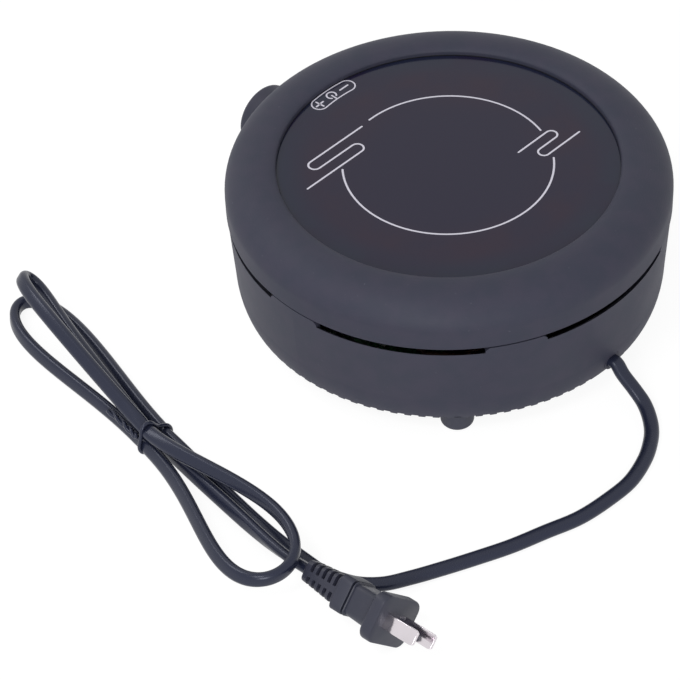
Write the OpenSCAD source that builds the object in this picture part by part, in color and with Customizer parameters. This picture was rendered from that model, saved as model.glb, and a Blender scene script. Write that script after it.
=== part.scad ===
// Portable hot plate with a radiant heater under glass, in millimetres.
// The floor is z = 0, the knob faces -Y and the mains lead leaves at +Y.

/* [Housing] */
// Outside diameter at the parting line
body_d = 190; // [184:1:206]
// Height of the lower shell
lower_h = 43.5; // [43:0.5:52]
// Height of the upper shell above the parting line
upper_h = 21; // [20:0.5:26]
// Height of the feet under the lower shell
foot_h = 8.5; // [6:0.5:14]
// Wall thickness of both shells
wall = 2.5; // [2:0.1:3]
// Thickness of the base
base_t = 2; // [1.6:0.1:3]
// How far the upper rim stands out over the lower wall
rim_overhang = 0.3; // [0.1:0.1:1.2]
// How much the lower wall draws in down to its round edge
wall_draft = 1.8; // [0:0.1:3]
// Width of the round shoulder of the upper shell
shoulder_w = 17; // [14:0.5:18]
// Height of the round shoulder of the upper shell
shoulder_h = 13; // [10:0.5:16]
// Height of the round lower edge
edge_h = 11.5; // [9:0.5:14]
// Radial size of the round lower edge
edge_w = 4.5; // [4:0.5:10]

/* [Vents] */
// Number of vent notches under the rim
vent_count = 6; // [4:1:8]
// Angle that each notch spans
vent_span = 44; // [30:1:48]
// Height of a notch
vent_h = 3.5; // [1.5:0.1:4]
// Height of the shadow line under the rim
shadow_h = 1; // [0.3:0.1:1.2]
// Depth of the shadow line
shadow_d = 0.8; // [0.4:0.1:1]
// Number of fine ribs along the underside edge
rib_count = 96; // [48:4:120]
// Depth of the gaps between the fine ribs
rib_depth = 1.1; // [0.4:0.1:1.5]
// Number of ring slots in the intake grille
grille_rings = 5; // [3:1:6]
// Width of a ring slot
grille_slot = 2.2; // [1.5:0.1:2.6]

/* [Cooking surface] */
// Distance of the glass from the outside of the housing
glass_inset = 19; // [18.5:0.25:20]
// Thickness of the glass disc
glass_t = 4; // [3:0.5:5]
// Step down of the glass's edge under the lip
glass_step = 0.3; // [0.1:0.1:0.5]
// How far the lip covers the edge of the glass
lip_cover = 3.25; // [2:0.25:4]
// How far the lip curves down from the crown
lip_drop = 2.3; // [1:0.1:3]
// Thickness of the lip at its edge
lip_t = 1.2; // [0.8:0.1:2]
// Thickness of the silicone ring over the glass
seal_t = 0.6; // [0.4:0.1:1]
// Thickness of the silicone ring under the glass
pad_t = 1; // [0.6:0.1:1.6]

/* [Heater] */
// Distance of the heater dish from the edge of the glass
dish_inset = 10; // [9:0.5:14]
// Thickness of the sheet metal pieces
sheet_t = 0.8; // [0.6:0.1:1]
// Depth of the heater dish
dish_h = 17.9; // [17:0.1:20]
// Height of the leaf springs under the dish
spring_h = 10.2; // [8:0.1:11]
// Thickness of the insulation under the ribbon
slab_t = 7; // [5:0.5:8]
// Width of the raised rim of the insulation
slab_rim = 8; // [6:0.5:10]
// Turns of the heater ribbon
ribbon_turns = 6; // [3:1:8]
// Height of the heater ribbon
ribbon_h = 3; // [2:0.1:3.4]
// Thickness of the heater ribbon
ribbon_t = 0.8; // [0.5:0.1:1.2]
// Diameter of the limiter tube
limiter_d = 4; // [3:0.1:4.4]

/* [Knob] */
// Diameter of the knob
knob_d = 29.5; // [24:0.5:33]
// Length of the knob
knob_l = 19.6; // [17:0.1:24]
// Height of the knob's axis above the housing's lower edge
knob_rise = 24.5; // [19.5:0.5:25.5]
// Gap behind the knob at rest
knob_gap = 1.95; // [1.7:0.05:3]
// Stroke of the knob when pressed
push_travel = 0.8; // [0.4:0.1:1]
// Diameter of the knob's shaft
shaft_d = 6; // [5:0.1:6.4]
// Running clearance of the shaft and of the fan
run_clear = 0.05; // [0.03:0.01:0.08]

/* [Fan] */
// Width of the fan frame
fan_w = 60; // [56:1:62]
// Thickness of the fan frame
fan_t = 15; // [13:0.5:16]
// Diameter of the fan hub
fan_hub_d = 26; // [22:1:28]
// Number of fan blades
fan_blades = 7; // [5:1:9]
// Diameter of the fan shaft
fan_shaft_d = 3; // [2:0.1:4]
// Height of the posts under the fan
fan_post_h = 4; // [3:0.5:5]

/* [Control board] */
// Length of the board
board_l = 80; // [76:1:84]
// Thickness of the board
board_t = 1.6; // [1:0.1:2]
// Height of the posts under the board
board_post_h = 6.5; // [5:0.5:8]
// Gap between the fan and the board
board_gap = 7; // [5:0.5:8]
// Gap between the board's corners and the round lower edge
board_clear = 3.6; // [3:0.1:6]

/* [Fasteners] */
// Diameter of the screws between the shells
screw_d = 3; // [2.5:0.1:3.4]
// Diameter of the small screws
small_d = 2.4; // [2:0.1:2.6]
// Clearance round a screw or between fitted pieces
fit = 0.1; // [0.05:0.01:0.2]

/* [Feet] */
// Diameter of a foot
foot_d = 14.2; // [10:0.2:15]
// Distance of the feet's axes from the rim of the flat base
foot_inset = 5; // [4:0.5:12]

/* [Cord] */
// Width of the flat-oval cord
cord_w = 6.4; // [5.6:0.1:6.8]
// Thickness of the flat-oval cord
cord_t = 4.4; // [3.8:0.1:4.8]
// Height of the cord's exit above the housing's lower edge
cord_rise = 5.5; // [5:0.5:9.5]

/* [Plug] */
// Length of a blade
blade_l = 17; // [15:0.5:18]
// Width of a blade
blade_w = 6.3; // [6:0.1:6.6]
// Thickness of a blade
blade_t = 1.5; // [1.3:0.1:1.7]
// Distance between the two blades
blade_pitch = 12.7; // [12:0.1:13.4]
// Length of the slotted relief
relief_l = 19; // [15:0.5:24]
// Width of the plug's face
face_w = 25; // [22:0.5:28]
// Height of the plug's face
face_h = 20; // [18:0.5:22]

/* [Hidden] */
$fn = 96;
body_r = body_d / 2;
part_z = foot_h + lower_h;
top_z = part_z + upper_h;
base_z = foot_h + base_t;
knob_z = foot_h + knob_rise;
cord_z = foot_h + cord_rise;
lower_top_r = body_r - rim_overhang;
knee_r = lower_top_r - wall_draft;
knee_z = foot_h + edge_h;
edge_c = knee_r - edge_w;
edge_tall = edge_h + 2;
function lower_r(z) = z > knee_z
    ? knee_r + wall_draft * (z - knee_z) / (part_z - knee_z)
    : edge_c + edge_w * sqrt(1 - pow((knee_z - z) / edge_tall, 2));
knob_back = lower_r(knob_z) + knob_gap;
knob_front = knob_back + knob_l;
// The knob's front and the rear of the housing lie at equal distances from the origin.
axis_y = (knob_front - body_r) / 2;

// Heights of the stack under the lip
crown_r = body_r - shoulder_w;
shoulder_z = top_z - shoulder_h;
glass_r = body_r - glass_inset;
opening_r = glass_r - lip_cover;
lip_z = top_z - lip_drop;
seal_z = lip_z - lip_t - seal_t;
glass_z = seal_z + glass_step - glass_t;
pad_z = glass_z - pad_t;
retainer_t = 1;
retainer_z = pad_z - retainer_t;
glass_gap = 0.5;
collar_r = glass_r + glass_gap;
collar_t = 2.5;
shield_top = retainer_z;
shield_r = collar_r - 1.5;
dish_r = glass_r - dish_inset;
dish_z = glass_z - dish_h;
shield_z = dish_z - spring_h - sheet_t;
slab_z = dish_z + sheet_t;
slab_top = slab_z + slab_t;
slab_r = dish_r - sheet_t - 0.2;
limiter_z = slab_top + ribbon_h + 0.7 + limiter_d / 2;
tab_r = collar_r + 7;
tab_w = 10;

// Places of the fasteners and feet
shell_screw_r = collar_r + collar_t + 3;
shell_screw_angles = [60, 120, 240, 300];
tab_angles = [0, 90, 180, 270];
foot_angles = [45, 135, 225, 315];
foot_r = edge_c - foot_inset;
post_top = part_z - 8;
post_r = 4.5;
screw_seat = post_top - 8;

// Encoder behind the wall
pad_face = lower_r(knob_z) - 5;
spot_face = lower_r(knob_z) - 0.85;
bush_r = shaft_d / 2 + 0.5;
bush_end = knob_back + 3.5;
encoder_w = 13;
encoder_t = 6.5;
shaft_in = pad_face - 2;
hub_gap = push_travel + 0.4;

// Fan over the grille
fan_z = base_z + fan_post_h;
duct_r = fan_w / 2 - 1.2;
fan_hole = fan_w / 2 - 5;
fan_post_r = 3.2;

// Control board beside the fan
board_z = base_z + board_post_h;
board_top = board_z + board_t;
board_inset = 4;
board_x = fan_w / 2 + board_gap;
board_w = sqrt(pow(edge_c + edge_w - wall - board_clear, 2) - pow(board_l / 2, 2)) - board_x;
// Places and sizes on the board are shares of a board of 40 by 80.
part_u = board_w / 40;
part_v = board_l / 80;
// The heater's wires rise here through a hole in the shield.
feed_x = board_x + 18 * part_u;
feed_y = -31 * part_v;

// Cord entry
cord_y = lower_r(cord_z) + 0.15;
gland_r = cord_w / 2 + 1.1;
clamp_y = cord_y - 24;
inner_end = cord_y - 32;

// Free lead on the floor, laid from its exit, then the bend behind the plug
exit = [0, cord_y, 0];
flat_z = cord_t / 2 + 0.2;
drop = cord_z - flat_z;
lead_route = [
    [1, 7, flat_z + 0.76 * drop], [1.7, 14.2, flat_z + 0.43 * drop], [3.2, 20.6, flat_z + 0.21 * drop],
    [7.1, 27.1, flat_z + 0.07 * drop], [11.9, 32.2, flat_z], [18.7, 36.8, flat_z], [26, 40.3, flat_z],
    [39, 43.8, flat_z], [52, 43.8, flat_z], [68, 41.8, flat_z], [83, 36.8, flat_z], [98, 31.8, flat_z], [112, 25.8, flat_z],
    [125, 19.8, flat_z], [137, 13.8, flat_z], [147, 7.8, flat_z], [154, -0.2, flat_z], [158, -10.2, flat_z]
];
join_at = [159, -26.2, flat_z] + exit;
join_dir = [0, -1, 0];

// Hank: its own axis runs from the tie towards the two long loops
tie_at = [155, -115.2, 0] + exit;
hank_turn = -98;
tie_t = 1.3;
tie_w = 2.4;
strand_gap = 0.8;
row_low = tie_t + 0.4 + cord_w / 2;
row_high = row_low + cord_w + strand_gap;
row_step = cord_t + strand_gap;
slot_a = [-row_step, row_low];
slot_b = [row_step, row_low];
slot_c = [1, row_high];
slot_d = [0, row_low];
// side, hand, length, spread, drift per length, lean, rise, first slot, last slot, snugness near the tie
hank_loops = [
    [1, -1, 106, 17, -0.03, 0, -1.5, slot_a, slot_b, 3],
    [-1, 1, 99, 23, 0.03, 0, 6.5, slot_b, slot_c, 2],
    [1, 1, 105.5, 14, -0.065, 43, 11.5, slot_c, slot_d, 3]
];
loop_rings = 36;
run_rings = 8;

// Plug where it lies, on a corner of its face and on its lead
plug_at = [166, -14.7, 9.5] + exit;
plug_pitch = 6;
plug_roll = 41;
collar_l = 5;
throat_l = 19;
face_t = 4.5;
plug_l = relief_l + collar_l + throat_l + face_t;

plastic = [0.27, 0.28, 0.32];
black = [0.12, 0.12, 0.14];
steel = [0.72, 0.73, 0.75];

// Shared helpers
function arc(cx, cz, a, b, from, to, n) = [
    for (i = [0:n]) let (t = from + (to - from) * i / n) [cx + a * cos(t), cz + b * sin(t)]
];
up = [0, 0, 1];
function unit(v) = v / norm(v);
function mix(a, b, t) = a + (b - a) * t;
function bezier(a, b, c, d, t) =
    pow(1 - t, 3) * a + 3 * pow(1 - t, 2) * t * b + 3 * (1 - t) * t * t * c + pow(t, 3) * d;

module around(angles, r) {
    for (a = angles)
        rotate(a) translate([r, 0, 0]) children();
}

module ring(r_out, r_in, z, h) {
    translate([0, 0, z]) difference() {
        cylinder(h = h, r = r_out);
        translate([0, 0, -1]) cylinder(h = h + 2, r = r_in);
    }
}

module rounded(w, h, r) {
    for (x = [-1, 1], y = [-1, 1])
        translate([x * (w / 2 - r), y * (h / 2 - r)]) circle(r, $fn = 32);
    square([w - 2 * r, h], center = true);
    square([w, h - 2 * r], center = true);
}

module oval(w, t) {
    for (x = [-1, 1])
        translate([x * (w - t) / 2, 0]) circle(d = t, $fn = 48);
    square([w - t, t], center = true);
}

// Screw with its head's seat at z = 0 and its shank down along -Z
module screw(d, l, head_d, head_h) {
    cylinder(h = head_h, d = head_d, $fn = 32);
    translate([0, 0, -l]) cylinder(h = l + 0.01, d = d, $fn = 32);
}

// Tube of flat-oval rings along points, with the wide direction given at each point
function heading(p, i) = unit(p[min(i + 1, len(p) - 1)] - p[max(i - 1, 0)]);
function oval_ring(p, t, wide, w, h, sides) = let (
        u = unit(wide - t * (wide * t)),
        v = cross(t, u)
    ) [for (k = [0:sides - 1]) let (a = 360 * (k + 0.5) / sides)
        p + u * w / 2 * cos(a) / cos(180 / sides) + v * h / 2 * sin(a) / cos(180 / sides)];
function tube_rings(p, wide, w, h, sides) =
    [for (i = [0:len(p) - 1]) oval_ring(p[i], heading(p, i), wide[i], w, h, sides)];
module tube(rings) {
    n = len(rings[0]);
    m = len(rings);
    polyhedron(
        points = [for (r = rings) each r],
        faces = [
            for (i = [0:m - 2], k = [0:n - 1], half = [0, 1]) let (
                a = i * n + k,
                b = i * n + (k + 1) % n
            ) half == 0 ? [a, a + n, b + n] : [a, b + n, b],
            for (k = [1:n - 2]) [0, k, k + 1],
            for (k = [1:n - 2]) let (e = (m - 1) * n) [e, e + k + 1, e + k]
        ]
    );
}
module wire(p, d, up) {
    tube(tube_rings(p, [for (q = p) up], d, d, 8));
}

// Housing
function upper_outline() = concat(
    [[body_r, part_z]],
    arc(crown_r, shoulder_z, shoulder_w, shoulder_h, 0, 90, 20),
    arc(crown_r, lip_z, crown_r - opening_r, lip_drop, 98, 180, 8)
);
module upper_section() {
    inner_w = shoulder_w - wall;
    inner_h = shoulder_h - wall;
    meet = acos((collar_r + collar_t - crown_r) / inner_w);
    polygon(concat(
        upper_outline(),
        [[opening_r, lip_z - lip_t], [collar_r, lip_z - lip_t], [collar_r, pad_z], [collar_r + collar_t, pad_z]],
        arc(crown_r, shoulder_z, inner_w, inner_h, meet, 0, 16),
        [[body_r - wall, part_z]]
    ));
}
module upper_volume() {
    polygon(concat(upper_outline(), [[opening_r, lip_z - lip_t], [0, lip_z - lip_t], [0, foot_h], [knee_r - 4, foot_h],
        [lower_top_r - wall - 0.5, part_z]]));
}
module top_shell() {
    color(plastic) difference() {
        intersection() {
            union() {
                rotate_extrude() upper_section();
                around(shell_screw_angles, shell_screw_r) translate([0, 0, post_top])
                    cylinder(h = upper_h + 8, r = 4);
                around(tab_angles, tab_r) translate([0, 0, pad_z]) cylinder(h = upper_h, r = 3.5);
                rim_tongues();
            }
            rotate_extrude() upper_volume();
        }
        around(shell_screw_angles, shell_screw_r) translate([0, 0, post_top - 1])
            cylinder(h = 13, d = screw_d + 2 * fit, $fn = 32);
        around(tab_angles, tab_r) translate([0, 0, pad_z - 1]) cylinder(h = 5, d = small_d + 2 * fit, $fn = 32);
    }
}
// Short tongues that drop inside the lower wall between the notches
module rim_tongues() {
    outer = lower_top_r - wall - 0.6;
    for (k = [0:vent_count - 1]) rotate(360 / vent_count * k - 4) {
        rotate_extrude(angle = 8) translate([outer - 2, part_z - 4]) square([2, 5]);
        rotate_extrude(angle = 8) translate([outer - 2, part_z - 0.5]) square([wall + 2, 4.5]);
    }
}

module lower_section() {
    start = -asin(edge_h / edge_tall);
    polygon(concat(
        [[0, foot_h]],
        arc(edge_c, knee_z, edge_w, edge_tall, start, 0, 12),
        [[lower_top_r, part_z], [lower_top_r - wall, part_z]],
        arc(edge_c, knee_z, edge_w - wall, knee_z - base_z, 0, -90, 10),
        [[0, base_z]]
    ));
}
module lower_volume() {
    start = -asin(edge_h / edge_tall);
    polygon(concat(
        [[0, foot_h]],
        arc(edge_c, knee_z, edge_w, edge_tall, start, 0, 12),
        [[lower_top_r, part_z], [0, part_z]]
    ));
}
module vent_notches() {
    for (k = [0:vent_count - 1]) rotate(360 / vent_count * (k + 0.5)) {
        rotate(-vent_span / 2) rotate_extrude(angle = vent_span) translate([lower_top_r, part_z - vent_h])
            polygon([[wall, 0.9 * wall], [wall, vent_h + 1], [-2 * wall, vent_h + 1], [-2 * wall, -1.8 * wall]]);
        side = (vent_h + 0.2) * sqrt(2);
        for (s = [-1, 1]) rotate(s * (vent_span / 2 - 0.4)) translate([lower_top_r, 0, part_z + 0.4])
            rotate([45, 0, 0]) cube([6 * wall, side, side], center = true);
    }
}
module edge_ribs() {
    rib_w = PI * (edge_c + edge_w) / rib_count;
    // No gap between ribs runs under the cord's exit.
    for (k = [0:rib_count - 1]) let (a = 360 / rib_count * k) if (abs(a - 90) > 6) rotate(a)
        translate([edge_c - 1, -rib_w / 2, foot_h - 1]) cube([edge_w + 4, rib_w, 1 + rib_depth]);
}
module shadow_line() {
    ring(body_r + 2, lower_top_r - shadow_d, part_z - shadow_h, shadow_h + 1);
}
module intake_grille() {
    pitch = (duct_r - 5) / grille_rings;
    difference() {
        for (k = [1:grille_rings])
            ring(4 + pitch * k, 4 + pitch * k - grille_slot, foot_h - 1, base_t + 2);
        for (a = [0, 60, 120]) rotate(a) translate([-duct_r - 1, -1.5, foot_h - 2])
            cube([2 * duct_r + 2, 3, base_t + 4]);
    }
}
module bottom_shell() {
    post_h = post_top - foot_h;
    color(plastic) difference() {
        intersection() {
            union() {
                rotate_extrude() lower_section();
                around(shell_screw_angles, shell_screw_r) translate([0, 0, foot_h])
                    cylinder(h = post_h, r = post_r);
                fan_places() translate([0, 0, foot_h]) cylinder(h = fan_z - foot_h, r = fan_post_r, $fn = 48);
                board_places() translate([0, 0, foot_h]) cylinder(h = board_z - foot_h, r = 3, $fn = 48);
                clamp_places() translate([0, 0, foot_h])
                    cylinder(h = cord_z + cord_t / 2 - foot_h, r = 3.2, $fn = 48);
                translate([-3, clamp_y - 4, foot_h]) cube([6, 8, cord_z - cord_t / 2 - foot_h]);
                gland_ribs();
                translate([-10, -knob_back, knob_z - 10]) cube([20, knob_back - pad_face, 20]);
            }
            rotate_extrude() lower_volume();
        }
        vent_notches();
        shadow_line();
        edge_ribs();
        intake_grille();
        around(shell_screw_angles, shell_screw_r) {
            translate([0, 0, foot_h - 1]) cylinder(h = screw_seat - foot_h + 1, d = 2 * screw_d + 0.6, $fn = 48);
            translate([0, 0, foot_h]) cylinder(h = post_h + 1, d = screw_d + 2 * fit, $fn = 32);
        }
        around(foot_angles, foot_r) translate([0, 0, foot_h - 1])
            cylinder(h = base_t + 2, d = foot_d / 3 + 2 * fit, $fn = 48);
        fan_places() translate([0, 0, foot_h + 0.7]) cylinder(h = fan_t, d = small_d + 2 * fit, $fn = 32);
        board_places() translate([0, 0, foot_h + 0.7]) cylinder(h = board_z, d = small_d + 2 * fit, $fn = 32);
        clamp_places() translate([0, 0, foot_h + 0.7]) cylinder(h = 20, d = small_d + 2 * fit, $fn = 32);
        translate([0, cord_y - 16, cord_z]) rotate([-90, 0, 0]) cylinder(h = 30, r = gland_r + fit);
        translate([0, -pad_face + 1, knob_z]) rotate([90, 0, 0]) cylinder(h = 12, r = bush_r + fit);
        translate([0, -spot_face, knob_z]) rotate([90, 0, 0]) cylinder(h = 6, r = 8);
    }
}
module fan_places() {
    for (x = [-1, 1], y = [-1, 1])
        translate([x * fan_hole, y * fan_hole, 0]) children();
}
module board_places() {
    for (x = [board_x + board_inset, board_x + board_w - board_inset], y = [-1, 1])
        translate([x, y * (board_l / 2 - board_inset), 0]) children();
}
module clamp_places() {
    for (x = [-9, 9])
        translate([x, clamp_y, 0]) children();
}
module gland_ribs() {
    for (x = [-1, 1], y = [cord_y - 15, cord_y - 9])
        translate([x * (gland_r + 2.6) - 2, y, foot_h]) cube([4, 1.6, cord_z + 2 - foot_h]);
}
module shell_screws() {
    color(steel) around(shell_screw_angles, shell_screw_r) translate([0, 0, screw_seat])
        rotate([180, 0, 0]) screw(screw_d, post_top - screw_seat + 10, 2 * screw_d, 2);
}
module foot(angle) {
    r = foot_d / 2;
    round = 0.2 * foot_h;
    color(black) rotate(angle) translate([foot_r, 0, 0]) {
        rotate_extrude() polygon(concat(
            [[0, 0]],
            arc(r - round, round, round, round, -90, 0, 8),
            [[r, foot_h], [0, foot_h]]
        ));
        cylinder(h = base_z, d = foot_d / 3, $fn = 48);
        translate([0, 0, base_z]) cylinder(h = 1.4, d1 = foot_d / 3 + 2, d2 = foot_d / 3, $fn = 48);
    }
}

// Glass and what holds it
module glass_seal() {
    color(black) ring(glass_r + 0.3, opening_r, seal_z, seal_t);
}
module glass_plate() {
    color([0.2, 0.18, 0.22]) translate([0, 0, glass_z]) {
        cylinder(h = glass_t - glass_step, r = glass_r);
        cylinder(h = glass_t, r = opening_r - 0.4);
    }
}
module glass_pad() {
    color(black) ring(glass_r - 0.2, glass_r - 5, pad_z, pad_t);
}
module tabs(z, t) {
    around(tab_angles, tab_r) translate([0, 0, z]) {
        cylinder(h = t, d = tab_w);
        translate([-tab_r + collar_r - 4, -tab_w / 2, 0]) cube([tab_r - collar_r + 4, tab_w, t]);
    }
}
module tab_holes() {
    around(tab_angles, tab_r) translate([0, 0, shield_top - 3]) cylinder(h = 8, d = small_d + 4 * fit, $fn = 32);
}
module glass_retainer() {
    color(steel) difference() {
        union() {
            ring(collar_r + 1, glass_r - 6, retainer_z, retainer_t);
            tabs(retainer_z, retainer_t);
        }
        tab_holes();
        translate([0, 0, retainer_z - 1]) cylinder(h = 4, r = glass_r - 6);
    }
}
module retainer_screws() {
    color(steel) around(tab_angles, tab_r) translate([0, 0, shield_top - sheet_t])
        rotate([180, 0, 0]) screw(small_d, retainer_t + sheet_t + 3.5, 2 * small_d, 1.6);
}

// Heater under the glass
module heat_shield() {
    color(steel) difference() {
        union() {
            translate([0, 0, shield_z]) cylinder(h = shield_top - shield_z, r = shield_r);
            ring(collar_r + 1, shield_r - 1, shield_top - sheet_t, sheet_t);
            tabs(shield_top - sheet_t, sheet_t);
        }
        translate([0, 0, shield_z + sheet_t]) cylinder(h = shield_top - shield_z, r = shield_r - sheet_t);
        tab_holes();
        translate([feed_x, feed_y, shield_z - 1]) cylinder(h = 4, r = 5);
    }
}
module dish_springs() {
    half = 16;
    r = (half * half + spring_h * spring_h) / (2 * spring_h) - 0.03;
    color(steel) around([30, 150, 270], dish_r - 21) translate([0, 4, shield_z + sheet_t]) rotate([90, 0, 0])
        linear_extrude(8) intersection() {
            translate([0, spring_h - 0.05 - r]) difference() {
                circle(r);
                circle(r - sheet_t);
            }
            translate([-half, 0]) square([2 * half, spring_h]);
        }
}
module heater_dish() {
    color(steel) difference() {
        translate([0, 0, dish_z]) cylinder(h = dish_h, r = dish_r);
        translate([0, 0, slab_z]) cylinder(h = dish_h, r = dish_r - sheet_t);
        limiter_hole(0.4, 20);
    }
}
module limiter_hole(clear, from) {
    translate([from, 0, limiter_z]) rotate([0, 90, 0]) cylinder(h = dish_r + 5 - from, d = limiter_d + 2 * clear);
}
module insulation() {
    color([0.9, 0.88, 0.8]) difference() {
        translate([0, 0, slab_z]) cylinder(h = glass_z - slab_z - 0.3, r = slab_r);
        translate([0, 0, slab_top]) cylinder(h = dish_h, r = slab_r - slab_rim);
        limiter_hole(0.2, 3.5 - slab_r);
    }
}
module heater_ribbon() {
    r_in = 13;
    r_out = slab_r - slab_rim - 5;
    steps = 30 * ribbon_turns;
    function spiral(i, side) = let (
            r = mix(r_in, r_out, i / steps) + side * ribbon_t / 2,
            a = 12 * i
        ) [r * cos(a), r * sin(a)];
    color([0.6, 0.35, 0.25]) translate([0, 0, slab_top]) linear_extrude(ribbon_h) polygon(concat(
        [for (i = [0:steps]) spiral(i, 1)],
        [for (i = [steps:-1:0]) spiral(i, -1)]
    ));
}
module heater_terminal() {
    color([0.92, 0.9, 0.86]) difference() {
        translate([dish_r - 36, -8, shield_z + sheet_t + 0.6]) cube([24, 16, spring_h - 0.6]);
        for (y = [-4, 4]) translate([dish_r - 30, y, shield_z + sheet_t])
            cylinder(h = spring_h - 2, d = 4, $fn = 32);
    }
}
module limiter_tube() {
    color([0.85, 0.85, 0.8]) translate([4 - slab_r, 0, limiter_z]) rotate([0, 90, 0])
        cylinder(h = dish_r + slab_r - 3.5, d = limiter_d);
}
module limiter_head() {
    color([0.8, 0.78, 0.72]) translate([dish_r + 0.5, -11, limiter_z - 7]) cube([6, 22, 9]);
}

// Fan in the middle of the base
module fan_frame() {
    cup_t = 3;
    color(black) difference() {
        union() {
            difference() {
                translate([0, 0, fan_z]) linear_extrude(fan_t) rounded(fan_w, fan_w, 4);
                translate([0, 0, fan_z - 1]) cylinder(h = fan_t + 2, r = duct_r);
            }
            translate([0, 0, fan_z]) cylinder(h = cup_t, d = fan_hub_d - 2);
            for (a = [45:90:315]) rotate(a) translate([0, -1.5, fan_z + 0.3]) cube([duct_r + 1, 3, cup_t - 0.8]);
            translate([0, 0, fan_z]) cylinder(h = fan_t - 4, r = fan_shaft_d / 2 + 2);
        }
        translate([0, 0, fan_z + 1.5]) cylinder(h = fan_t, r = fan_shaft_d / 2 + run_clear);
        fan_places() translate([0, 0, fan_z - 1]) cylinder(h = fan_t + 2, d = small_d + 4 * fit, $fn = 32);
    }
}
module fan_stator() {
    r = fan_shaft_d / 2 + 2;
    color([0.65, 0.4, 0.2]) difference() {
        union() {
            translate([0, 0, fan_z + 3]) cylinder(h = 5, r = r + 2.2);
            for (a = [0:90:270]) rotate(a) translate([0, -2, fan_z + 3.5]) cube([fan_hub_d / 2 - 3, 4, 4]);
        }
        translate([0, 0, fan_z + 2]) cylinder(h = 8, r = r + 0.02);
    }
}
module fan_rotor() {
    hub_r = fan_hub_d / 2;
    top = fan_z + fan_t - 1;
    low = fan_z + 4;
    color(black) {
        difference() {
            translate([0, 0, low]) cylinder(h = top - low, r = hub_r);
            translate([0, 0, low - 1]) cylinder(h = top - low - 1, r = hub_r - 1.5);
        }
        translate([0, 0, fan_z + 1.6]) cylinder(h = top - fan_z - 2.1, d = fan_shaft_d, $fn = 48);
        intersection() {
            for (k = [0:fan_blades - 1]) rotate(360 / fan_blades * k)
                translate([hub_r - 0.6, 0, (low + top) / 2]) rotate([38, 0, 0])
                    translate([0, -8, -0.6]) cube([duct_r - hub_r, 16, 1.2]);
            translate([0, 0, low + 0.5]) cylinder(h = top - low - 1, r = duct_r - 1);
        }
    }
}
module fan_screws() {
    color(steel) fan_places() translate([0, 0, fan_z + fan_t])
        screw(small_d, fan_t + fan_post_h + 0.8, 2 * small_d, 1.8);
}

// Control board and what stands on it
module control_board() {
    color([0.1, 0.4, 0.2]) difference() {
        translate([board_x, -board_l / 2, board_z]) cube([board_w, board_l, board_t]);
        board_places() translate([0, 0, board_z - 1]) cylinder(h = board_t + 2, d = small_d + 4 * fit, $fn = 32);
    }
    color([0.9, 0.9, 0.85]) on_board(6, -33) block(6, 6, 7);
}
module board_screws() {
    color(steel) board_places() translate([0, 0, board_top]) screw(small_d, board_post_h, 2 * small_d, 1.6);
}
module on_board(x, y) {
    translate([board_x + x * part_u, y * part_v, board_top]) children();
}
module shift(x, y, z) {
    translate([x * part_u, y * part_v, z]) children();
}
module block(x, y, z) {
    cube([x * part_u, y * part_v, z]);
}
module heat_sink() {
    color(steel) on_board(27, -20) {
        block(3, 34, 15);
        for (k = [0:5]) shift(0, 6.4 * k, 0) block(9, 2, 15);
    }
}
module triac() {
    color(black) on_board(22.5, -8) {
        shift(0, 0, 4) block(4.5, 10, 11);
        for (y = [1.5, 4.5, 7.5]) shift(1.8, y, 0) block(0.9, 1, 4);
    }
}
module capacitor() {
    color([0.75, 0.65, 0.2]) on_board(6, 4) block(16, 8, 13);
}
module transformer() {
    color([0.8, 0.75, 0.3]) on_board(4, -25) {
        block(18, 5, 14);
        shift(1.5, 5, 1) block(15, 6, 12);
        shift(0, 11, 0) block(18, 5, 14);
    }
}
module terminal_block() {
    color([0.15, 0.45, 0.25]) on_board(9, 22) difference() {
        block(13, 12, 10);
        for (x = [3.5, 9.5]) shift(x, 6, 6) cylinder(h = 5, d = 3, $fn = 32);
    }
}
module fuse() {
    color([0.85, 0.85, 0.82]) on_board(6, 17) {
        for (x = [0, 15]) shift(x, -3, 0) block(4, 6, 4);
        translate([0, 0, 5]) rotate([0, 90, 0]) cylinder(h = 19 * part_u, d = 5, $fn = 48);
    }
}

// Push-and-turn control behind the knob
module along_knob(y) {
    translate([0, -y, knob_z]) rotate([90, 0, 0]) children();
}
module encoder_case() {
    color(steel) difference() {
        union() {
            along_knob(pad_face - encoder_t) linear_extrude(encoder_t) rounded(encoder_w, encoder_w, 1);
            along_knob(pad_face - 0.5) cylinder(h = bush_end - pad_face + 0.5, r = bush_r);
        }
        along_knob(pad_face - encoder_t + 1.5) cylinder(h = bush_end, r = shaft_d / 2 + run_clear);
    }
}
module encoder_nut() {
    color(steel) difference() {
        along_knob(spot_face) cylinder(h = 2, d = 12, $fn = 6);
        along_knob(spot_face - 1) cylinder(h = 4, r = bush_r + run_clear);
    }
}
module encoder_plunger() {
    color(black) along_knob(pad_face - encoder_t + 1.5 + push_travel + 0.1)
        cylinder(h = encoder_t - 3.6 - push_travel, r = shaft_d / 2 - 0.1);
}
module knob_shaft() {
    color(steel) along_knob(shaft_in) cylinder(h = knob_front - 3.5 - shaft_in, d = shaft_d);
}
module knob() {
    r = knob_d / 2;
    round = 2.5;
    cave = bush_end + hub_gap + 3 - knob_back;
    color(black) along_knob(knob_back) rotate_extrude() polygon(concat(
        [[shaft_d / 2 + 0.02, bush_end + hub_gap - knob_back], [6, bush_end + hub_gap - knob_back], [6, cave],
            [r - 2, cave], [r - 2, 0], [r, 0]],
        arc(r - round, knob_l - round, round, round, 0, 90, 10),
        [[0, knob_l], [0, knob_l - 3.4], [shaft_d / 2 + 0.02, knob_l - 3.4]]
    ));
}

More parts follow.
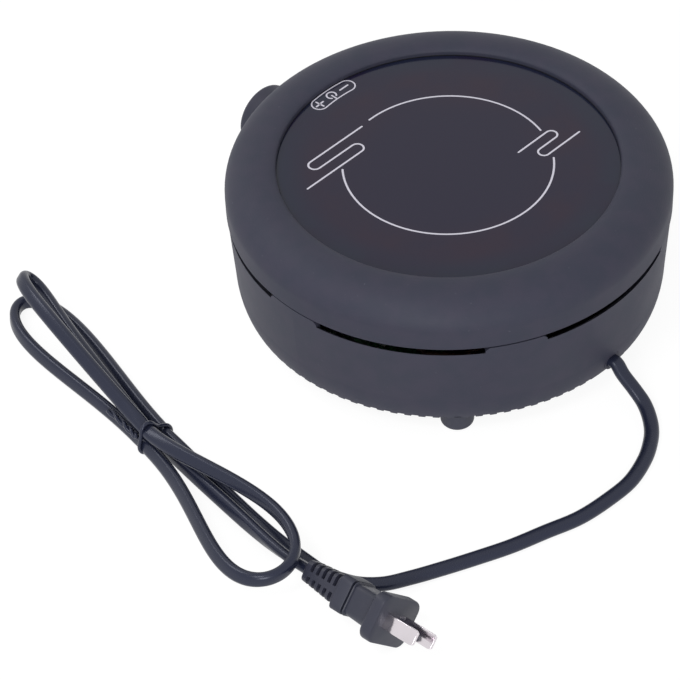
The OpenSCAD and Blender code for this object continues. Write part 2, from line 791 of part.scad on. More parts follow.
// Where the lead enters
module cord_gland() {
    color(black) difference() {
        union() {
            translate([0, cord_y - 15.9, cord_z]) rotate([-90, 0, 0]) cylinder(h = 15.9, r = gland_r);
            translate([-gland_r - 4, cord_y - 13.2, base_z]) cube([2 * gland_r + 8, 4, cord_z + 6 - base_z]);
        }
        translate([0, cord_y - 17, cord_z]) rotate([-90, 0, 0]) linear_extrude(20)
            oval(cord_w + 2 * fit, cord_t + 2 * fit);
    }
}
module cord_inner() {
    color(black) translate([0, inner_end, cord_z]) rotate([-90, 0, 0]) linear_extrude(cord_y - inner_end)
        oval(cord_w, cord_t);
}
module cord_clamp() {
    color(black) difference() {
        translate([-13, clamp_y - 4, cord_z + cord_t / 2]) cube([26, 8, 3]);
        clamp_places() translate([0, 0, cord_z]) cylinder(h = 8, d = small_d + 4 * fit, $fn = 32);
    }
}
module clamp_screws() {
    color(steel) clamp_places() translate([0, 0, cord_z + cord_t / 2 + 3])
        screw(small_d, 3 + cord_z + cord_t / 2 - foot_h - 1, 2 * small_d, 1.6);
}

// Inner wiring
module mains_wires() {
    block_y = 34 * part_v;
    color([0.5, 0.2, 0.15]) for (s = [0, 1]) {
        x = board_x + (12.5 + 6 * s) * part_u;
        y = inner_end - 10 + 4 * s;
        wire([[-1.7 + 3.4 * s, inner_end, cord_z], [-1.7 + 3.4 * s, inner_end - 3, cord_z],
            [3 + 4 * s, y, cord_z + 2], [16 + 4 * s, y - 2, board_top + 2], [x - 8, y - 3, board_top + 5],
            [x, block_y + 5, board_top + 4], [x, block_y, board_top + 4]], 2.4, [0, 0, 1]);
    }
}
module heater_wires() {
    z = shield_z + sheet_t + 5;
    end = dish_r - 12;
    color([0.85, 0.85, 0.8]) for (s = [0, 1]) {
        x = feed_x - 1.8 + 3.6 * s;
        y = 8 * s - 4;
        wire([[x, feed_y, board_top], [x, feed_y, board_top + 6], [x, feed_y, shield_z + 1], [x + s, feed_y + 3, z - 1],
            [mix(x, end, 0.2) + 4 * s, mix(feed_y, y, 0.35), z], [end + 3.5 + 3 * s, y - 6, z], [end + 2.5 + s, y - 1, z],
            [end + 1.2, y, z], [end, y, z]], 2, [1, 0.2, 0]);
    }
}
module fan_wires() {
    from = fan_w / 2;
    to = board_x + 3 * part_u;
    color([0.7, 0.15, 0.12]) for (y = [10, 13])
        wire([[from, y, fan_z + 5], [from + 1.5, y, fan_z + 5], [mix(from, to, 0.5), y, fan_z + 9],
            [to - 1.2, y, board_top + 6], [to, y, board_top + 2], [to, y, board_top]], 1.4, [0, 1, 0]);
}
module encoder_wires() {
    start = pad_face - encoder_t;
    z = board_top + 4;
    plug_x = board_x + 9 * part_u;
    plug_y = -33 * part_v;
    path = [[0, -start, knob_z - 2], [0, 6 - start, knob_z - 2], [14, 18 - start, mix(z, knob_z - 2, 0.7)],
        [plug_x - 12, plug_y - 20, mix(z, knob_z - 2, 0.3)], [plug_x - 1, plug_y - 10, z], [plug_x, plug_y - 4, z],
        [plug_x, plug_y, z]];
    color([0.6, 0.6, 0.62]) tube(tube_rings(path, [for (q = path) up], 4.2, 1.2, 8));
}

// Mains lead: free stretch, hank, tie and plug
function sideways(t) = unit(cross(up, t));
lead_points = concat(
    [exit + up * cord_z, exit + [0, 2.4, cord_z]],
    [for (p = lead_route) exit + p],
    [join_at - join_dir * 2 * cord_w, join_at - join_dir * cord_w, join_at]
);
module cord_lead() {
    wide = [for (i = [0:len(lead_points) - 1]) sideways(heading(lead_points, i))];
    color(black) tube(tube_rings(lead_points, wide, cord_w, cord_t, 10));
}

function hank_place(p) = tie_at + [
    p[0] * cos(hank_turn) - p[1] * sin(hank_turn), p[0] * sin(hank_turn) + p[1] * cos(hank_turn), p[2]
];
function hank_dir(p) = hank_place(p) - tie_at;
function slot_point(s) = hank_place([0, s[0], s[1]]);
function loop_point(q, s) = let (
        turn = 180 * s,
        reach = q[2] * pow(sin(turn), 2),
        open = q[1] * q[3] * sin(2 * turn) * pow(sin(turn), q[9]),
        cross_over = mix(q[7], q[8], pow(sin(90 * s), 2))
    ) hank_place([
        q[0] * reach,
        cross_over[0] + open * cos(q[5]) + q[4] * reach,
        cross_over[1] + open * sin(q[5]) + q[6] * pow(sin(turn), 2)
    ]);
function loop_wide(q, s) = let (a = q[5] * pow(sin(180 * s), 2)) hank_dir([0, -sin(a), cos(a)]);
tie_dir = hank_dir([1, 0, 0]);
plug_dir = [0, cos(plug_pitch), sin(plug_pitch)];
plug_wide = [cos(plug_roll), 0, sin(plug_roll)];
function into_tie(t) = bezier(join_at + join_dir * cord_w, join_at + join_dir * 30,
    slot_point(slot_a) - tie_dir * 30, slot_point(slot_a), t);
function out_to_plug(t) = bezier(slot_point(slot_d), slot_point(slot_d) - tie_dir * 35,
    plug_at - plug_dir * 35, plug_at - plug_dir * cord_w, t);
hank_points = concat(
    [join_at],
    [for (i = [0:run_rings - 1]) into_tie(i / run_rings)],
    [for (q = hank_loops, i = [0:loop_rings - 1]) loop_point(q, i / loop_rings)],
    [for (i = [0:run_rings]) out_to_plug(i / run_rings)],
    [plug_at]
);
hank_wide = concat(
    [sideways(join_dir)],
    [for (i = [0:run_rings - 1]) let (t = i / run_rings) sideways(join_dir) * cos(90 * t) + up * sin(90 * t)],
    [for (q = hank_loops, i = [0:loop_rings - 1]) loop_wide(q, i / loop_rings)],
    [for (i = [0:run_rings]) mix(up, plug_wide, i / run_rings)],
    [plug_wide]
);
hank_rings = tube_rings(hank_points, hank_wide, cord_w, cord_t, 8);
function route_length(p) = let (
        steps = [for (i = [1:len(p) - 1]) norm(p[i] - p[i - 1])],
        ones = [for (s = steps) 1]
    ) steps * ones;
// Least distance between ring points of strands that aren't neighbours along the tube
function least_gap(rings, points, apart) = min([
    for (i = [0:len(points) - 1], j = [i + apart:1:len(points) - 1])
        if (norm(points[i] - points[j]) < 9)
            for (a = rings[i], b = rings[j]) norm(a - b)
]);
module cord_hank() {
    echo(lead_length = route_length(lead_points), hank_length = route_length(hank_points));
    echo(hank_least_gap = least_gap(hank_rings, hank_points, 9));
    color(black) tube(hank_rings);
}
module bundle_outline() {
    hull() for (s = [slot_a, slot_b, slot_c, slot_d])
        translate(s) rotate(90) oval(cord_w, cord_t);
}
module hank_tie() {
    color(black) translate(tie_at) rotate(hank_turn) rotate([90, 0, 90])
        translate([0, 0, -tie_w / 2]) linear_extrude(tie_w) difference() {
            offset(r = tie_t + 0.35, $fn = 32) bundle_outline();
            offset(r = 0.35, $fn = 32) bundle_outline();
        }
}
module plug_place() {
    translate(plug_at) rotate([0, 0, 90]) rotate([0, -plug_pitch, 0]) rotate([-plug_roll, 0, 0]) children();
}
// Slab across the plug's own axis, from x to x + t
module plug_slab(x, t, w, h, r) {
    translate([x, 0, 0]) rotate([90, 0, 90]) linear_extrude(t) rounded(w, h, r);
}
module plug_body() {
    neck = relief_l + collar_l;
    color(black) plug_place() {
        difference() {
            rotate([0, 90, 0]) cylinder(h = relief_l, r1 = 4.3, r2 = 6.2);
            for (k = [0:4]) {
                for (s = [-1, 1]) translate([2.6 + 3.4 * k, s * 7, 0]) cube([1.5, 8, 20], center = true);
                translate([4.3 + 3.4 * k, 0, 7]) cube([1.5, 20, 8], center = true);
                translate([4.3 + 3.4 * k, 0, -7]) cube([1.5, 20, 8], center = true);
            }
        }
        plug_slab(relief_l, collar_l - 1, 14, 14, 2.5);
        plug_slab(neck - 1, 1, 11.5, 11.5, 2);
        hull() {
            plug_slab(neck, 1, 13.5, 13.5, 2.5);
            plug_slab(neck + throat_l - 7, 1, 15, 14.5, 3);
        }
        hull() {
            plug_slab(neck + throat_l - 7, 1, 15, 14.5, 3);
            plug_slab(neck + throat_l - 1, 1, face_w - 3, face_h - 3, 4);
        }
        hull() {
            plug_slab(neck + throat_l - 1, 1, face_w - 3, face_h - 3, 4);
            plug_slab(neck + throat_l + 1, face_t - 1, face_w, face_h, 4.5);
        }
    }
}
module plug_blades() {
    color(steel) plug_place() for (s = [-1, 1])
        translate([plug_l, s * blade_pitch / 2 + blade_t / 2, 0]) rotate([90, 0, 0]) linear_extrude(blade_t)
            polygon([[0, -blade_w / 2], [blade_l - 1.2, -blade_w / 2], [blade_l, 0.7 - blade_w / 2],
                [blade_l, blade_w / 2 - 0.7], [blade_l - 1.2, blade_w / 2], [0, blade_w / 2]]);
}

module placed() {
    translate([0, axis_y, 0]) children();
}
placed() top_shell();
placed() glass_seal();
placed() glass_plate();
placed() glass_pad();
placed() glass_retainer();
placed() retainer_screws();
placed() heat_shield();
placed() dish_springs();
placed() heater_dish();
placed() insulation();
placed() heater_ribbon();
placed() heater_terminal();
placed() limiter_tube();
placed() limiter_head();
placed() bottom_shell();
placed() shell_screws();
placed() foot(foot_angles[0]);  // foot_rear_right
placed() foot(foot_angles[1]);  // foot_rear_left
placed() foot(foot_angles[2]);  // foot_front_left
placed() foot(foot_angles[3]);  // foot_front_right
placed() fan_frame();
placed() fan_stator();
placed() fan_rotor();
placed() fan_screws();
placed() control_board();
placed() board_screws();
placed() heat_sink();
placed() triac();
placed() capacitor();
placed() transformer();
placed() terminal_block();
placed() fuse();
placed() encoder_case();
placed() encoder_nut();
placed() encoder_plunger();
placed() knob_shaft();
placed() knob();
placed() cord_gland();
placed() cord_inner();
placed() cord_clamp();
placed() clamp_screws();
placed() mains_wires();
placed() heater_wires();
placed() fan_wires();
placed() encoder_wires();
placed() cord_lead();
placed() cord_hank();
placed() hank_tie();
placed() plug_body();
placed() plug_blades();
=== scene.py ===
import logging
import math
from dataclasses import dataclass
from enum import Enum
from typing import Any, Iterable, Mapping, Sequence

import bmesh
import bpy
import numpy as np
from mathutils import Matrix, Vector


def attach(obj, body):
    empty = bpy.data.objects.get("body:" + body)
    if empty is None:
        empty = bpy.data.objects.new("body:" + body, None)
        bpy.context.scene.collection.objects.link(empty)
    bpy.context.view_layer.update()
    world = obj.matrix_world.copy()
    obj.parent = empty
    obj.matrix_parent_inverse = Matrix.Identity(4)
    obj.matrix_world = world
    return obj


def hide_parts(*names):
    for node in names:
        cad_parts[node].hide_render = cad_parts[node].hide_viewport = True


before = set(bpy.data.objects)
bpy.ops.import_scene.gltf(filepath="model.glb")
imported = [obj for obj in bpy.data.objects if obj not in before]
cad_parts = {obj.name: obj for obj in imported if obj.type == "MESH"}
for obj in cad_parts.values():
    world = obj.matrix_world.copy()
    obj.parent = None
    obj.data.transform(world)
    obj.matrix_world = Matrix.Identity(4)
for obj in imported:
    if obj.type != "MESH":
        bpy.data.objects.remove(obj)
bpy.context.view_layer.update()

LOG = logging.getLogger("hot_plate")
Pair = tuple[float, float]
Point = Colour = tuple[float, float, float]
Points = np.ndarray
Mesh = tuple[Points, list[list[int]]]
Object = bpy.types.Object
Socket = bpy.types.NodeSocket

# Metres in a millimetre
MM = 0.001
# Distance from the row frame's origin to the housing's axis, in millimetres
AXIS_Y = 10.090625
# Directions of the row frame's axes
EAST, NORTH, UP = np.eye(3)
# Body that every new piece rides on
BODY = "base"


class Slot(Enum):
    """Material slots of the record, passed along with new pieces but not given to them."""

    JACKET = "cord_jacket"
    PLUG = "plug_plastic"
    BLADES = "plug_metal"


class Grain(Enum):
    """Ways a surface is broken up, as the noise node's stretch along X, Y and Z."""

    EVEN = (1.0, 1.0, 1.0)
    ALONG_X = (0.06, 1.0, 1.0)
    ALONG_Y = (1.0, 0.06, 1.0)
    FIBRE = (0.12, 1.0, 0.5)


# Mesh helpers


def row(points: Any) -> Points:
    """Housing-axis millimetres as metres in the row frame."""
    return (np.asarray(points, float) + (0.0, AXIS_Y, 0.0)) * MM


def unit(vectors: Any) -> Points:
    """Vectors brought to length 1."""
    v = np.asarray(vectors, float)
    return v / np.maximum(np.linalg.norm(v, axis=-1, keepdims=True), 1e-12)


def headings(points: Points, closed: bool = False) -> Points:
    """Directions along a line at each of its points.

    Args:
        points: Points of the line.
        closed: True where the last point leads back to the first.

    Returns:
        One unit vector a point.
    """
    if closed:
        return unit(unit(points - np.roll(points, 1, 0)) + unit(np.roll(points, -1, 0) - points))
    steps = unit(np.diff(points, axis=0))
    return unit(np.vstack([steps[:1], steps[1:] + steps[:-1], steps[-1:]]))


def even_steps(points: Points, step: float, *carried: Points) -> list[Points]:
    """A line sampled again at even distances.

    Args:
        points: Points of the line.
        step: Distance between the new points.
        carried: Vectors given at the old points, carried over to the new ones.

    Returns:
        The new points, then each of the carried arrays.
    """
    along = np.concatenate([[0.0], np.cumsum(np.linalg.norm(np.diff(points, axis=0), axis=1))])
    places = np.linspace(0.0, along[-1], max(2, int(round(along[-1] / step)) + 1))
    return [np.stack([np.interp(places, along, a[:, k]) for k in range(3)], 1) for a in (points, *carried)]


def between(t: Points, start: float, end: float, first: Points, last: Points) -> Points:
    """Points on the way from first to last, as t is on its way from start to end."""
    return ((end - t) * first + (t - start) * last) / (end - start)


def smooth_line(points: Points, count: int) -> Points:
    """A smooth line through points.

    Args:
        points: Points that the line passes through.
        count: Samples in each stretch.

    Returns:
        The line's points, the last one included.
    """
    p = np.vstack([2 * points[0] - points[1], points, 2 * points[-1] - points[-2]])
    knots = np.concatenate([[0.0], np.cumsum(np.sqrt(np.linalg.norm(np.diff(p, axis=0), axis=1)))])
    out = []
    for i in range(1, len(p) - 2):
        a, b, c, d = knots[i - 1:i + 3]
        t = np.linspace(b, c, count, endpoint=False)[:, None]
        u = between(t, a, b, p[i - 1], p[i])
        v = between(t, b, c, p[i], p[i + 1])
        w = between(t, c, d, p[i + 1], p[i + 2])
        out.append(between(t, b, c, between(t, a, c, u, v), between(t, b, d, v, w)))
    return np.vstack([*out, points[-1:]])


def ease(x: Points) -> Points:
    """Smooth step from 0 at 0 to 1 at 1."""
    x = np.clip(x, 0, 1)
    return x * x * (3 - 2 * x)


def bezier(a: Points, b: Points, c: Points, d: Points, t: Points) -> Points:
    """Points of a cubic curve with control points a to d."""
    t = t[:, None]
    return (1 - t) ** 3 * a + 3 * t * (1 - t) ** 2 * b + 3 * t * t * (1 - t) * c + t ** 3 * d


def flat_oval(width: float, thick: float, count: int) -> Points:
    """Outline of an oval with straight flanks, its width along the first axis."""
    circle = thick / 2 * np.stack([f((np.arange(count) + 0.5) * 2 * math.pi / count) for f in (np.cos, np.sin)], 1)
    return circle + np.sign(circle) * ((width - thick) / 2, 0.0)


def rounded_box(width: float, height: float, radius: float, arc: int, side: int) -> Points:
    """Outline of a rectangle with rounded corners.

    Args:
        width: Size along the first axis.
        height: Size along the second axis.
        radius: Radius of the corners.
        arc: Points in each corner.
        side: Points in each straight side.

    Returns:
        The outline, counter-clockwise from the lower right corner.
    """
    a, b = width / 2 - radius, height / 2 - radius
    corners = []
    for k, (x, y) in enumerate([(a, -b), (a, b), (-a, b), (-a, -b)]):
        turn = np.radians(np.linspace(90 * k - 90, 90 * k, arc))
        corners.append(np.stack([x + radius * np.cos(turn), y + radius * np.sin(turn)], 1))
    share = np.linspace(0, 1, side + 2)[1:-1, None]
    out = []
    for here, after in zip(corners, corners[1:] + corners[:1]):
        out += [here, here[-1] * (1 - share) + after[0] * share]
    return np.vstack(out)


def loft(rings: Points, closed: bool = False) -> Mesh:
    """Skin over a row of rings.

    Args:
        rings: Rings of equal point counts, each counter-clockwise seen from its far side.
        closed: True where the last ring leads back to the first; otherwise the ends are capped.

    Returns:
        Vertices and faces.
    """
    n, m = rings.shape[:2]
    faces = []
    for i in range(n if closed else n - 1):
        a, b = i * m, (i + 1) % n * m
        faces += [[a + j, a + (j + 1) % m, b + (j + 1) % m, b + j] for j in range(m)]
    if not closed:
        faces += [list(reversed(range(m))), [(n - 1) * m + j for j in range(m)]]
    return rings.reshape(-1, 3), faces


def sweep(points: Points, wide: Points, outline: Points, closed: bool = False) -> Points:
    """Rings of an outline carried along a line.

    Args:
        points: Points of the line.
        wide: Direction of the outline's first axis, one for all points or one for each.
        outline: Outline's points, one set for all or one for each point.
        closed: True for a loop.

    Returns:
        The rings.
    """
    ahead = headings(points, closed)
    across = unit(wide - (wide * ahead).sum(1, keepdims=True) * ahead)
    over = np.cross(ahead, across)
    shape = np.broadcast_to(outline, (len(points), *outline.shape[-2:]))
    return points[:, None] + shape[..., :1] * across[:, None] + shape[..., 1:] * over[:, None]


def join_meshes(parts: Iterable[Mesh]) -> Mesh:
    """Several meshes as one.

    Args:
        parts: Meshes.

    Returns:
        Vertices and faces.
    """
    points, faces, count = [], [], 0
    for p, f in parts:
        points.append(p)
        faces += [[count + k for k in face] for face in f]
        count += len(p)
    return np.vstack(points), faces


def make_object(name: str, mesh: Mesh, crease: float) -> Object:
    """A smooth-shaded mesh object.

    Args:
        name: Object's name.
        mesh: Vertices in metres, in the row frame, and faces.
        crease: Angle in degrees from which an edge stays sharp.

    Returns:
        The object, linked to the scene.
    """
    points, faces = mesh
    data = bpy.data.meshes.new(name)
    data.from_pydata(points.tolist(), [], faces)
    data.update()
    data.shade_smooth()
    data.set_sharp_from_angle(angle=math.radians(crease))
    made = bpy.data.objects.new(name, data)
    bpy.context.scene.collection.objects.link(made)
    return made


def fit(name: str, mesh: Mesh, finish: "Finish", crease: float, slot: Slot | None, *nodes: str) -> Object:
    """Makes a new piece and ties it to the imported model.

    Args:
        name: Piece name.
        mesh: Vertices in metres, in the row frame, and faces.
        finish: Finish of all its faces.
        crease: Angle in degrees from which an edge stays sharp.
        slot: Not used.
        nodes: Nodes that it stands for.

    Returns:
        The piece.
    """
    piece = make_object(name, mesh, crease)
    finish.dress(piece)
    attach(piece, BODY)
    if nodes:
        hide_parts(*nodes)
    LOG.info("piece %s rides on %s%s", name, BODY, f", for {', '.join(nodes)}" if nodes else "")
    return piece


# Shader helpers


class Value:
    """Shader output whose operators add Math nodes to its tree."""

    def __init__(self, socket: Socket) -> None:
        """Keeps the output socket."""
        self.socket = socket

    def math(self, operation: str, *operands: "Value | float") -> "Value":
        """Adds one Math node.

        Args:
            operation: Operation of the node.
            operands: Values or numbers for its sockets, in order.

        Returns:
            The node's result.
        """
        tree = self.socket.id_data
        node = tree.nodes.new("ShaderNodeMath")
        node.operation = operation
        for socket, operand in zip(node.inputs, operands):
            if isinstance(operand, Value):
                tree.links.new(operand.socket, socket)
            else:
                socket.default_value = operand
        return Value(node.outputs[0])

    def __add__(self, other: "Value | float") -> "Value":
        """Sum."""
        return self.math("ADD", self, other)

    def __sub__(self, other: "Value | float") -> "Value":
        """Difference."""
        return self.math("SUBTRACT", self, other)

    def __rsub__(self, other: float) -> "Value":
        """Difference from a number."""
        return self.math("SUBTRACT", other, self)

    def __mul__(self, other: "Value | float") -> "Value":
        """Product."""
        return self.math("MULTIPLY", self, other)

    __radd__ = __add__
    __rmul__ = __mul__

    def either(self, other: "Value") -> "Value":
        """Larger of two values."""
        return self.math("MAXIMUM", self, other)


class Bench:
    """Node tree of one material or world, with the few nodes that the finishes share."""

    def __init__(self, tree: bpy.types.NodeTree) -> None:
        """Empties the tree."""
        self.tree = tree
        tree.nodes.clear()

    def node(self, kind: str, sockets: Mapping[str | int, Any] | None = None,
             **settings: Any) -> bpy.types.NodeOutputs:
        """Adds a shader node.

        Args:
            kind: Type of the node, after the prefix that all of them have.
            sockets: Values or links of its input sockets.
            settings: Properties of the node.

        Returns:
            Its outputs.
        """
        made = self.tree.nodes.new("ShaderNode" + kind)
        for key, value in settings.items():
            setattr(made, key, value)
        for key, value in (sockets or {}).items():
            source = value.socket if isinstance(value, Value) else value
            if isinstance(source, Socket):
                self.tree.links.new(source, made.inputs[key])
            elif isinstance(source, tuple) and made.inputs[key].type == "RGBA":
                made.inputs[key].default_value = (*source, 1.0)
            else:
                made.inputs[key].default_value = source
        return made.outputs

    def place(self, size: float, grain: Grain = Grain.EVEN, offset: float = 0.0) -> Socket:
        """Object coordinates scaled for a pattern.

        Args:
            size: Pattern's size in millimetres.
            grain: Stretch of the pattern.
            offset: Shift along each axis, in pattern units.

        Returns:
            Vector output.
        """
        scale = tuple(1000.0 / size * g for g in grain.value)
        where = self.node("TexCoord")["Object"]
        return self.node("Mapping", {"Vector": where, "Scale": scale, "Location": (offset, offset, offset)})[0]

    def noise(self, size: float, detail: float = 2.0, grain: Grain = Grain.EVEN, offset: float = 0.0) -> Value:
        """Soft noise from 0 to 1 with patches of about a size in millimetres."""
        where = self.place(size, grain, offset)
        return Value(self.node("TexNoise", {"Vector": where, "Scale": 1.0, "Detail": detail})[0])

    def cells(self, size: float) -> Value:
        """Distance to the nearest of points strewn a size in millimetres apart, in that size."""
        return Value(self.node("TexVoronoi", {"Vector": self.place(size), "Scale": 1.0})[0])

    def step(self, value: Value, low: float, high: float) -> Value:
        """Smooth step of a value from 0 at low to 1 at high."""
        return Value(self.node("MapRange", {"Value": value, "From Min": low, "From Max": high},
                               interpolation_type="SMOOTHSTEP")[0])

    def tint(self, share: Value, first: Any, second: Any) -> Socket:
        """Mix of two colours by a share."""
        return self.node("Mix", {0: share, 6: first, 7: second}, data_type="RGBA")[2]

    def bump(self, height: Value, depth: float) -> Socket:
        """Normal raised by a height of 0 to 1 times a depth in millimetres."""
        return self.node("Bump", {"Height": height, "Distance": depth * MM})[0]

    def surface(self, colour: Any, rough: Any, normal: Socket, **fixed: Any) -> None:
        """Ends a material in a Principled shader.

        Args:
            colour: Base colour or its link.
            rough: Roughness or its link.
            normal: Link of the normal.
            fixed: Other sockets, their names with underscores.
        """
        named = {key.replace("_", " "): value for key, value in fixed.items()}
        shader = self.node("BsdfPrincipled", {"Base Color": colour, "Roughness": rough, **named, "Normal": normal})[0]
        self.node("OutputMaterial", {"Surface": shader})


# Finishes


@dataclass(frozen=True)
class Finish:
    """A named surface finish with two colours and a roughness."""

    name: str
    colour: Colour
    second: Colour
    rough: float

    def shade(self, bench: Bench) -> None:
        """Fills a material's nodes, each kind of finish in its own way."""
        raise NotImplementedError

    def material(self) -> bpy.types.Material:
        """The finish's material, made once.

        Returns:
            The material.
        """
        found = bpy.data.materials.get("finish_" + self.name)
        if found is None:
            found = bpy.data.materials.new("finish_" + self.name)
            found.use_nodes = True
            self.shade(Bench(found.node_tree))
        return found

    def dress(self, piece: Object) -> None:
        """Puts the finish on every face of a piece.

        Args:
            piece: Object to dress.
        """
        if not piece.material_slots:
            piece.data.materials.append(None)
        for slot in piece.material_slots:
            slot.material = self.material()


@dataclass(frozen=True)
class MouldedPlastic(Finish):
    """Spark-textured plastic with faint mottling and light specks."""

    speck: Colour = (0.16, 0.16, 0.19)
    grain: float = 0.35
    depth: float = 0.02
    mottle: float = 9.0
    specks: float = 0.25
    gloss: float = 0.5

    def shade(self, bench: Bench) -> None:
        """Fills the nodes: grain, mottling and specks.

        Args:
            bench: Material's tree.
        """
        fine = bench.noise(self.grain, 2.0)
        broad = bench.noise(self.mottle, 4.0)
        dust = bench.step(bench.noise(2.0, 1.5, offset=7.3), 0.73, 0.83) * self.specks
        worn = bench.step(bench.noise(38.0, 3.0, offset=2.1), 0.35, 0.75)
        tone = bench.tint(bench.step(broad, 0.3, 0.7), self.colour, self.second)
        tone = bench.tint(dust, tone, self.speck)
        rough = self.rough + (fine - 0.5) * 0.12 + (worn - 0.5) * 0.08
        bench.surface(tone, rough, bench.bump(fine, self.depth), Specular_IOR_Level=self.gloss)


@dataclass(frozen=True)
class GlassCeramic(Finish):
    """Dark glass-ceramic with a warm ring where the heater lies below, its radii in metres."""

    cool: Colour = (0.0125, 0.0165, 0.038)
    warm_from: Pair = (0.030, 0.053)
    warm_to: Pair = (0.056, 0.069)
    rim: Pair = (0.056, 0.074)

    def shade(self, bench: Bench) -> None:
        """Fills the nodes: warm ring, cooler rim and faint wipe marks.

        Args:
            bench: Material's tree.
        """
        where = bench.node("TexCoord")["Object"]
        to_axis = {0: where, 1: (1.0, 1.0, 0.0), 2: (0.0, -AXIS_Y * MM, 0.0)}
        flat = bench.node("VectorMath", to_axis, operation="MULTIPLY_ADD")[0]
        out = Value(bench.node("VectorMath", {0: flat}, operation="LENGTH")["Value"])
        patch = bench.noise(22.0, 3.0)
        ring = bench.step(out, *self.warm_from) * (1 - bench.step(out, *self.warm_to))
        glow = ring * bench.step(patch, 0.25, 0.7)
        rim = bench.step(out, *self.rim) * bench.step(patch, 0.3, 0.6)
        tone = bench.tint(glow, self.colour, self.second)
        tone = bench.tint(rim, tone, self.cool)
        wipe = bench.noise(14.0, 4.0, Grain.ALONG_X)
        bench.surface(tone, self.rough + (wipe - 0.5) * 0.06, bench.bump(bench.noise(30.0, 1.0), 0.01),
                      Specular_IOR_Level=0.28)


@dataclass(frozen=True)
class Metal(Finish):
    """Rolled, drawn or plated metal with fine lines and a clouded tone."""

    grain: Grain = Grain.ALONG_X
    line: float = 0.5
    depth: float = 0.004
    cloud: float = 12.0

    def shade(self, bench: Bench) -> None:
        """Fills the nodes: lines of the rolling and clouds of oxide.

        Args:
            bench: Material's tree.
        """
        lines = bench.noise(self.line, 3.0, self.grain)
        clouds = bench.step(bench.noise(self.cloud, 4.0), 0.35, 0.75)
        tone = bench.tint(clouds * 0.7 + lines * 0.3, self.colour, self.second)
        rough = self.rough + (lines - 0.5) * 0.18 + clouds * 0.08
        bench.surface(tone, rough, bench.bump(lines, self.depth), Metallic=1.0)


@dataclass(frozen=True)
class Coat(Finish):
    """Rubber, silicone or fired-on ink with a fine skin and patches of bloom or wear."""

    patch: float = 5.0
    detail: float = 4.0
    span: Pair = (0.45, 0.8)
    share: float = 0.35
    dull: float = 0.15
    uneven: float = 0.1
    depth: float = 0.015
    gloss: float = 0.4

    def shade(self, bench: Bench) -> None:
        """Fills the nodes: patches and a fine skin.

        Args:
            bench: Material's tree.
        """
        skin = bench.noise(0.5, 2.0)
        patches = bench.step(bench.noise(self.patch, self.detail), *self.span) * self.share
        rough = self.rough + patches * self.dull + (skin - 0.5) * self.uneven
        bench.surface(bench.tint(patches, self.colour, self.second), rough, bench.bump(skin, self.depth),
                      Specular_IOR_Level=self.gloss)


@dataclass(frozen=True)
class Sheath(Finish):
    """Drawn plastic sheath of a lead or wire, satin, with shallow ripples."""

    sheen: Colour = (0.84, 0.87, 1.0)
    ripple: float = 3.0

    def shade(self, bench: Bench) -> None:
        """Fills the nodes: ripples of the drawing and a few scuffs.

        Args:
            bench: Material's tree.
        """
        ripples = bench.noise(self.ripple, 2.0)
        scuffs = bench.step(bench.noise(1.6, 4.0, offset=3.7), 0.62, 0.8)
        fine = bench.noise(0.4, 2.0)
        tone = bench.tint(scuffs * 0.25 + ripples * 0.15, self.colour, self.second)
        rough = self.rough + scuffs * 0.1 + (fine - 0.5) * 0.04
        bench.surface(tone, rough, bench.bump(ripples, 0.02), Specular_IOR_Level=0.4, Specular_Tint=self.sheen)


@dataclass(frozen=True)
class Fired(Finish):
    """Fired ceramic, moulded resin or pressed fibre with pits."""

    grain: Grain = Grain.EVEN
    pit: float = 1.2
    depth: float = 0.05

    def shade(self, bench: Bench) -> None:
        """Fills the nodes: fibres or pits and a clouded tone.

        Args:
            bench: Material's tree.
        """
        grit = bench.noise(self.pit, 4.0, self.grain)
        cloud = bench.noise(8.0, 3.0)
        pits = bench.step(bench.cells(self.pit * 2), 0.05, 0.3)
        tone = bench.tint(grit * 0.6 + cloud * 0.4, self.colour, self.second)
        bench.surface(tone, self.rough + (grit - 0.5) * 0.2, bench.bump(grit * 0.5 + pits * 0.5, self.depth))


@dataclass(frozen=True)
class BoardLaminate(Finish):
    """Circuit board: lacquer over copper tracks, with tinned pads."""

    pad: Colour = (0.6, 0.58, 0.52)

    def shade(self, bench: Bench) -> None:
        """Fills the nodes: tracks under the lacquer and pads.

        Args:
            bench: Material's tree.
        """
        bricks = {"Vector": bench.place(6.0), "Scale": 1.0, "Mortar Size": 0.09}
        tracks = Value(bench.node("TexBrick", bricks, offset=0.35)["Fac"])
        pads = 1 - bench.step(bench.cells(5.0), 0.14, 0.18)
        tone = bench.tint(tracks, self.colour, self.second)
        rough = self.rough + bench.noise(3.0, 3.0) * 0.15
        bench.surface(bench.tint(pads, tone, self.pad), rough, bench.bump(tracks * 0.5 + pads * 0.5, 0.04),
                      Metallic=pads * 0.8)


SHELL = MouldedPlastic("shell_plastic", (0.039, 0.042, 0.065), (0.046, 0.045, 0.07), 0.6, specks=0.28, gloss=0.25)
DIAL = MouldedPlastic("knob_plastic", (0.04, 0.042, 0.064), (0.045, 0.044, 0.069), 0.58, specks=0.15, gloss=0.3)
BLACK = MouldedPlastic("black_plastic", (0.018, 0.018, 0.02), (0.024, 0.024, 0.027), 0.45, specks=0.1)
PLUG = MouldedPlastic("plug_plastic", (0.027, 0.03, 0.049), (0.032, 0.033, 0.053), 0.42, grain=0.5,
                      depth=0.012, specks=0.08, gloss=0.4)
FOOT = Coat("foot_rubber", (0.041, 0.043, 0.064), (0.09, 0.09, 0.115), 0.62)
SILICONE = Coat("silicone", (0.009, 0.009, 0.013), (0.02, 0.02, 0.024), 0.6)
GLASS = GlassCeramic("glass_ceramic", (0.0145, 0.0115, 0.034), (0.022, 0.0115, 0.03), 0.16)
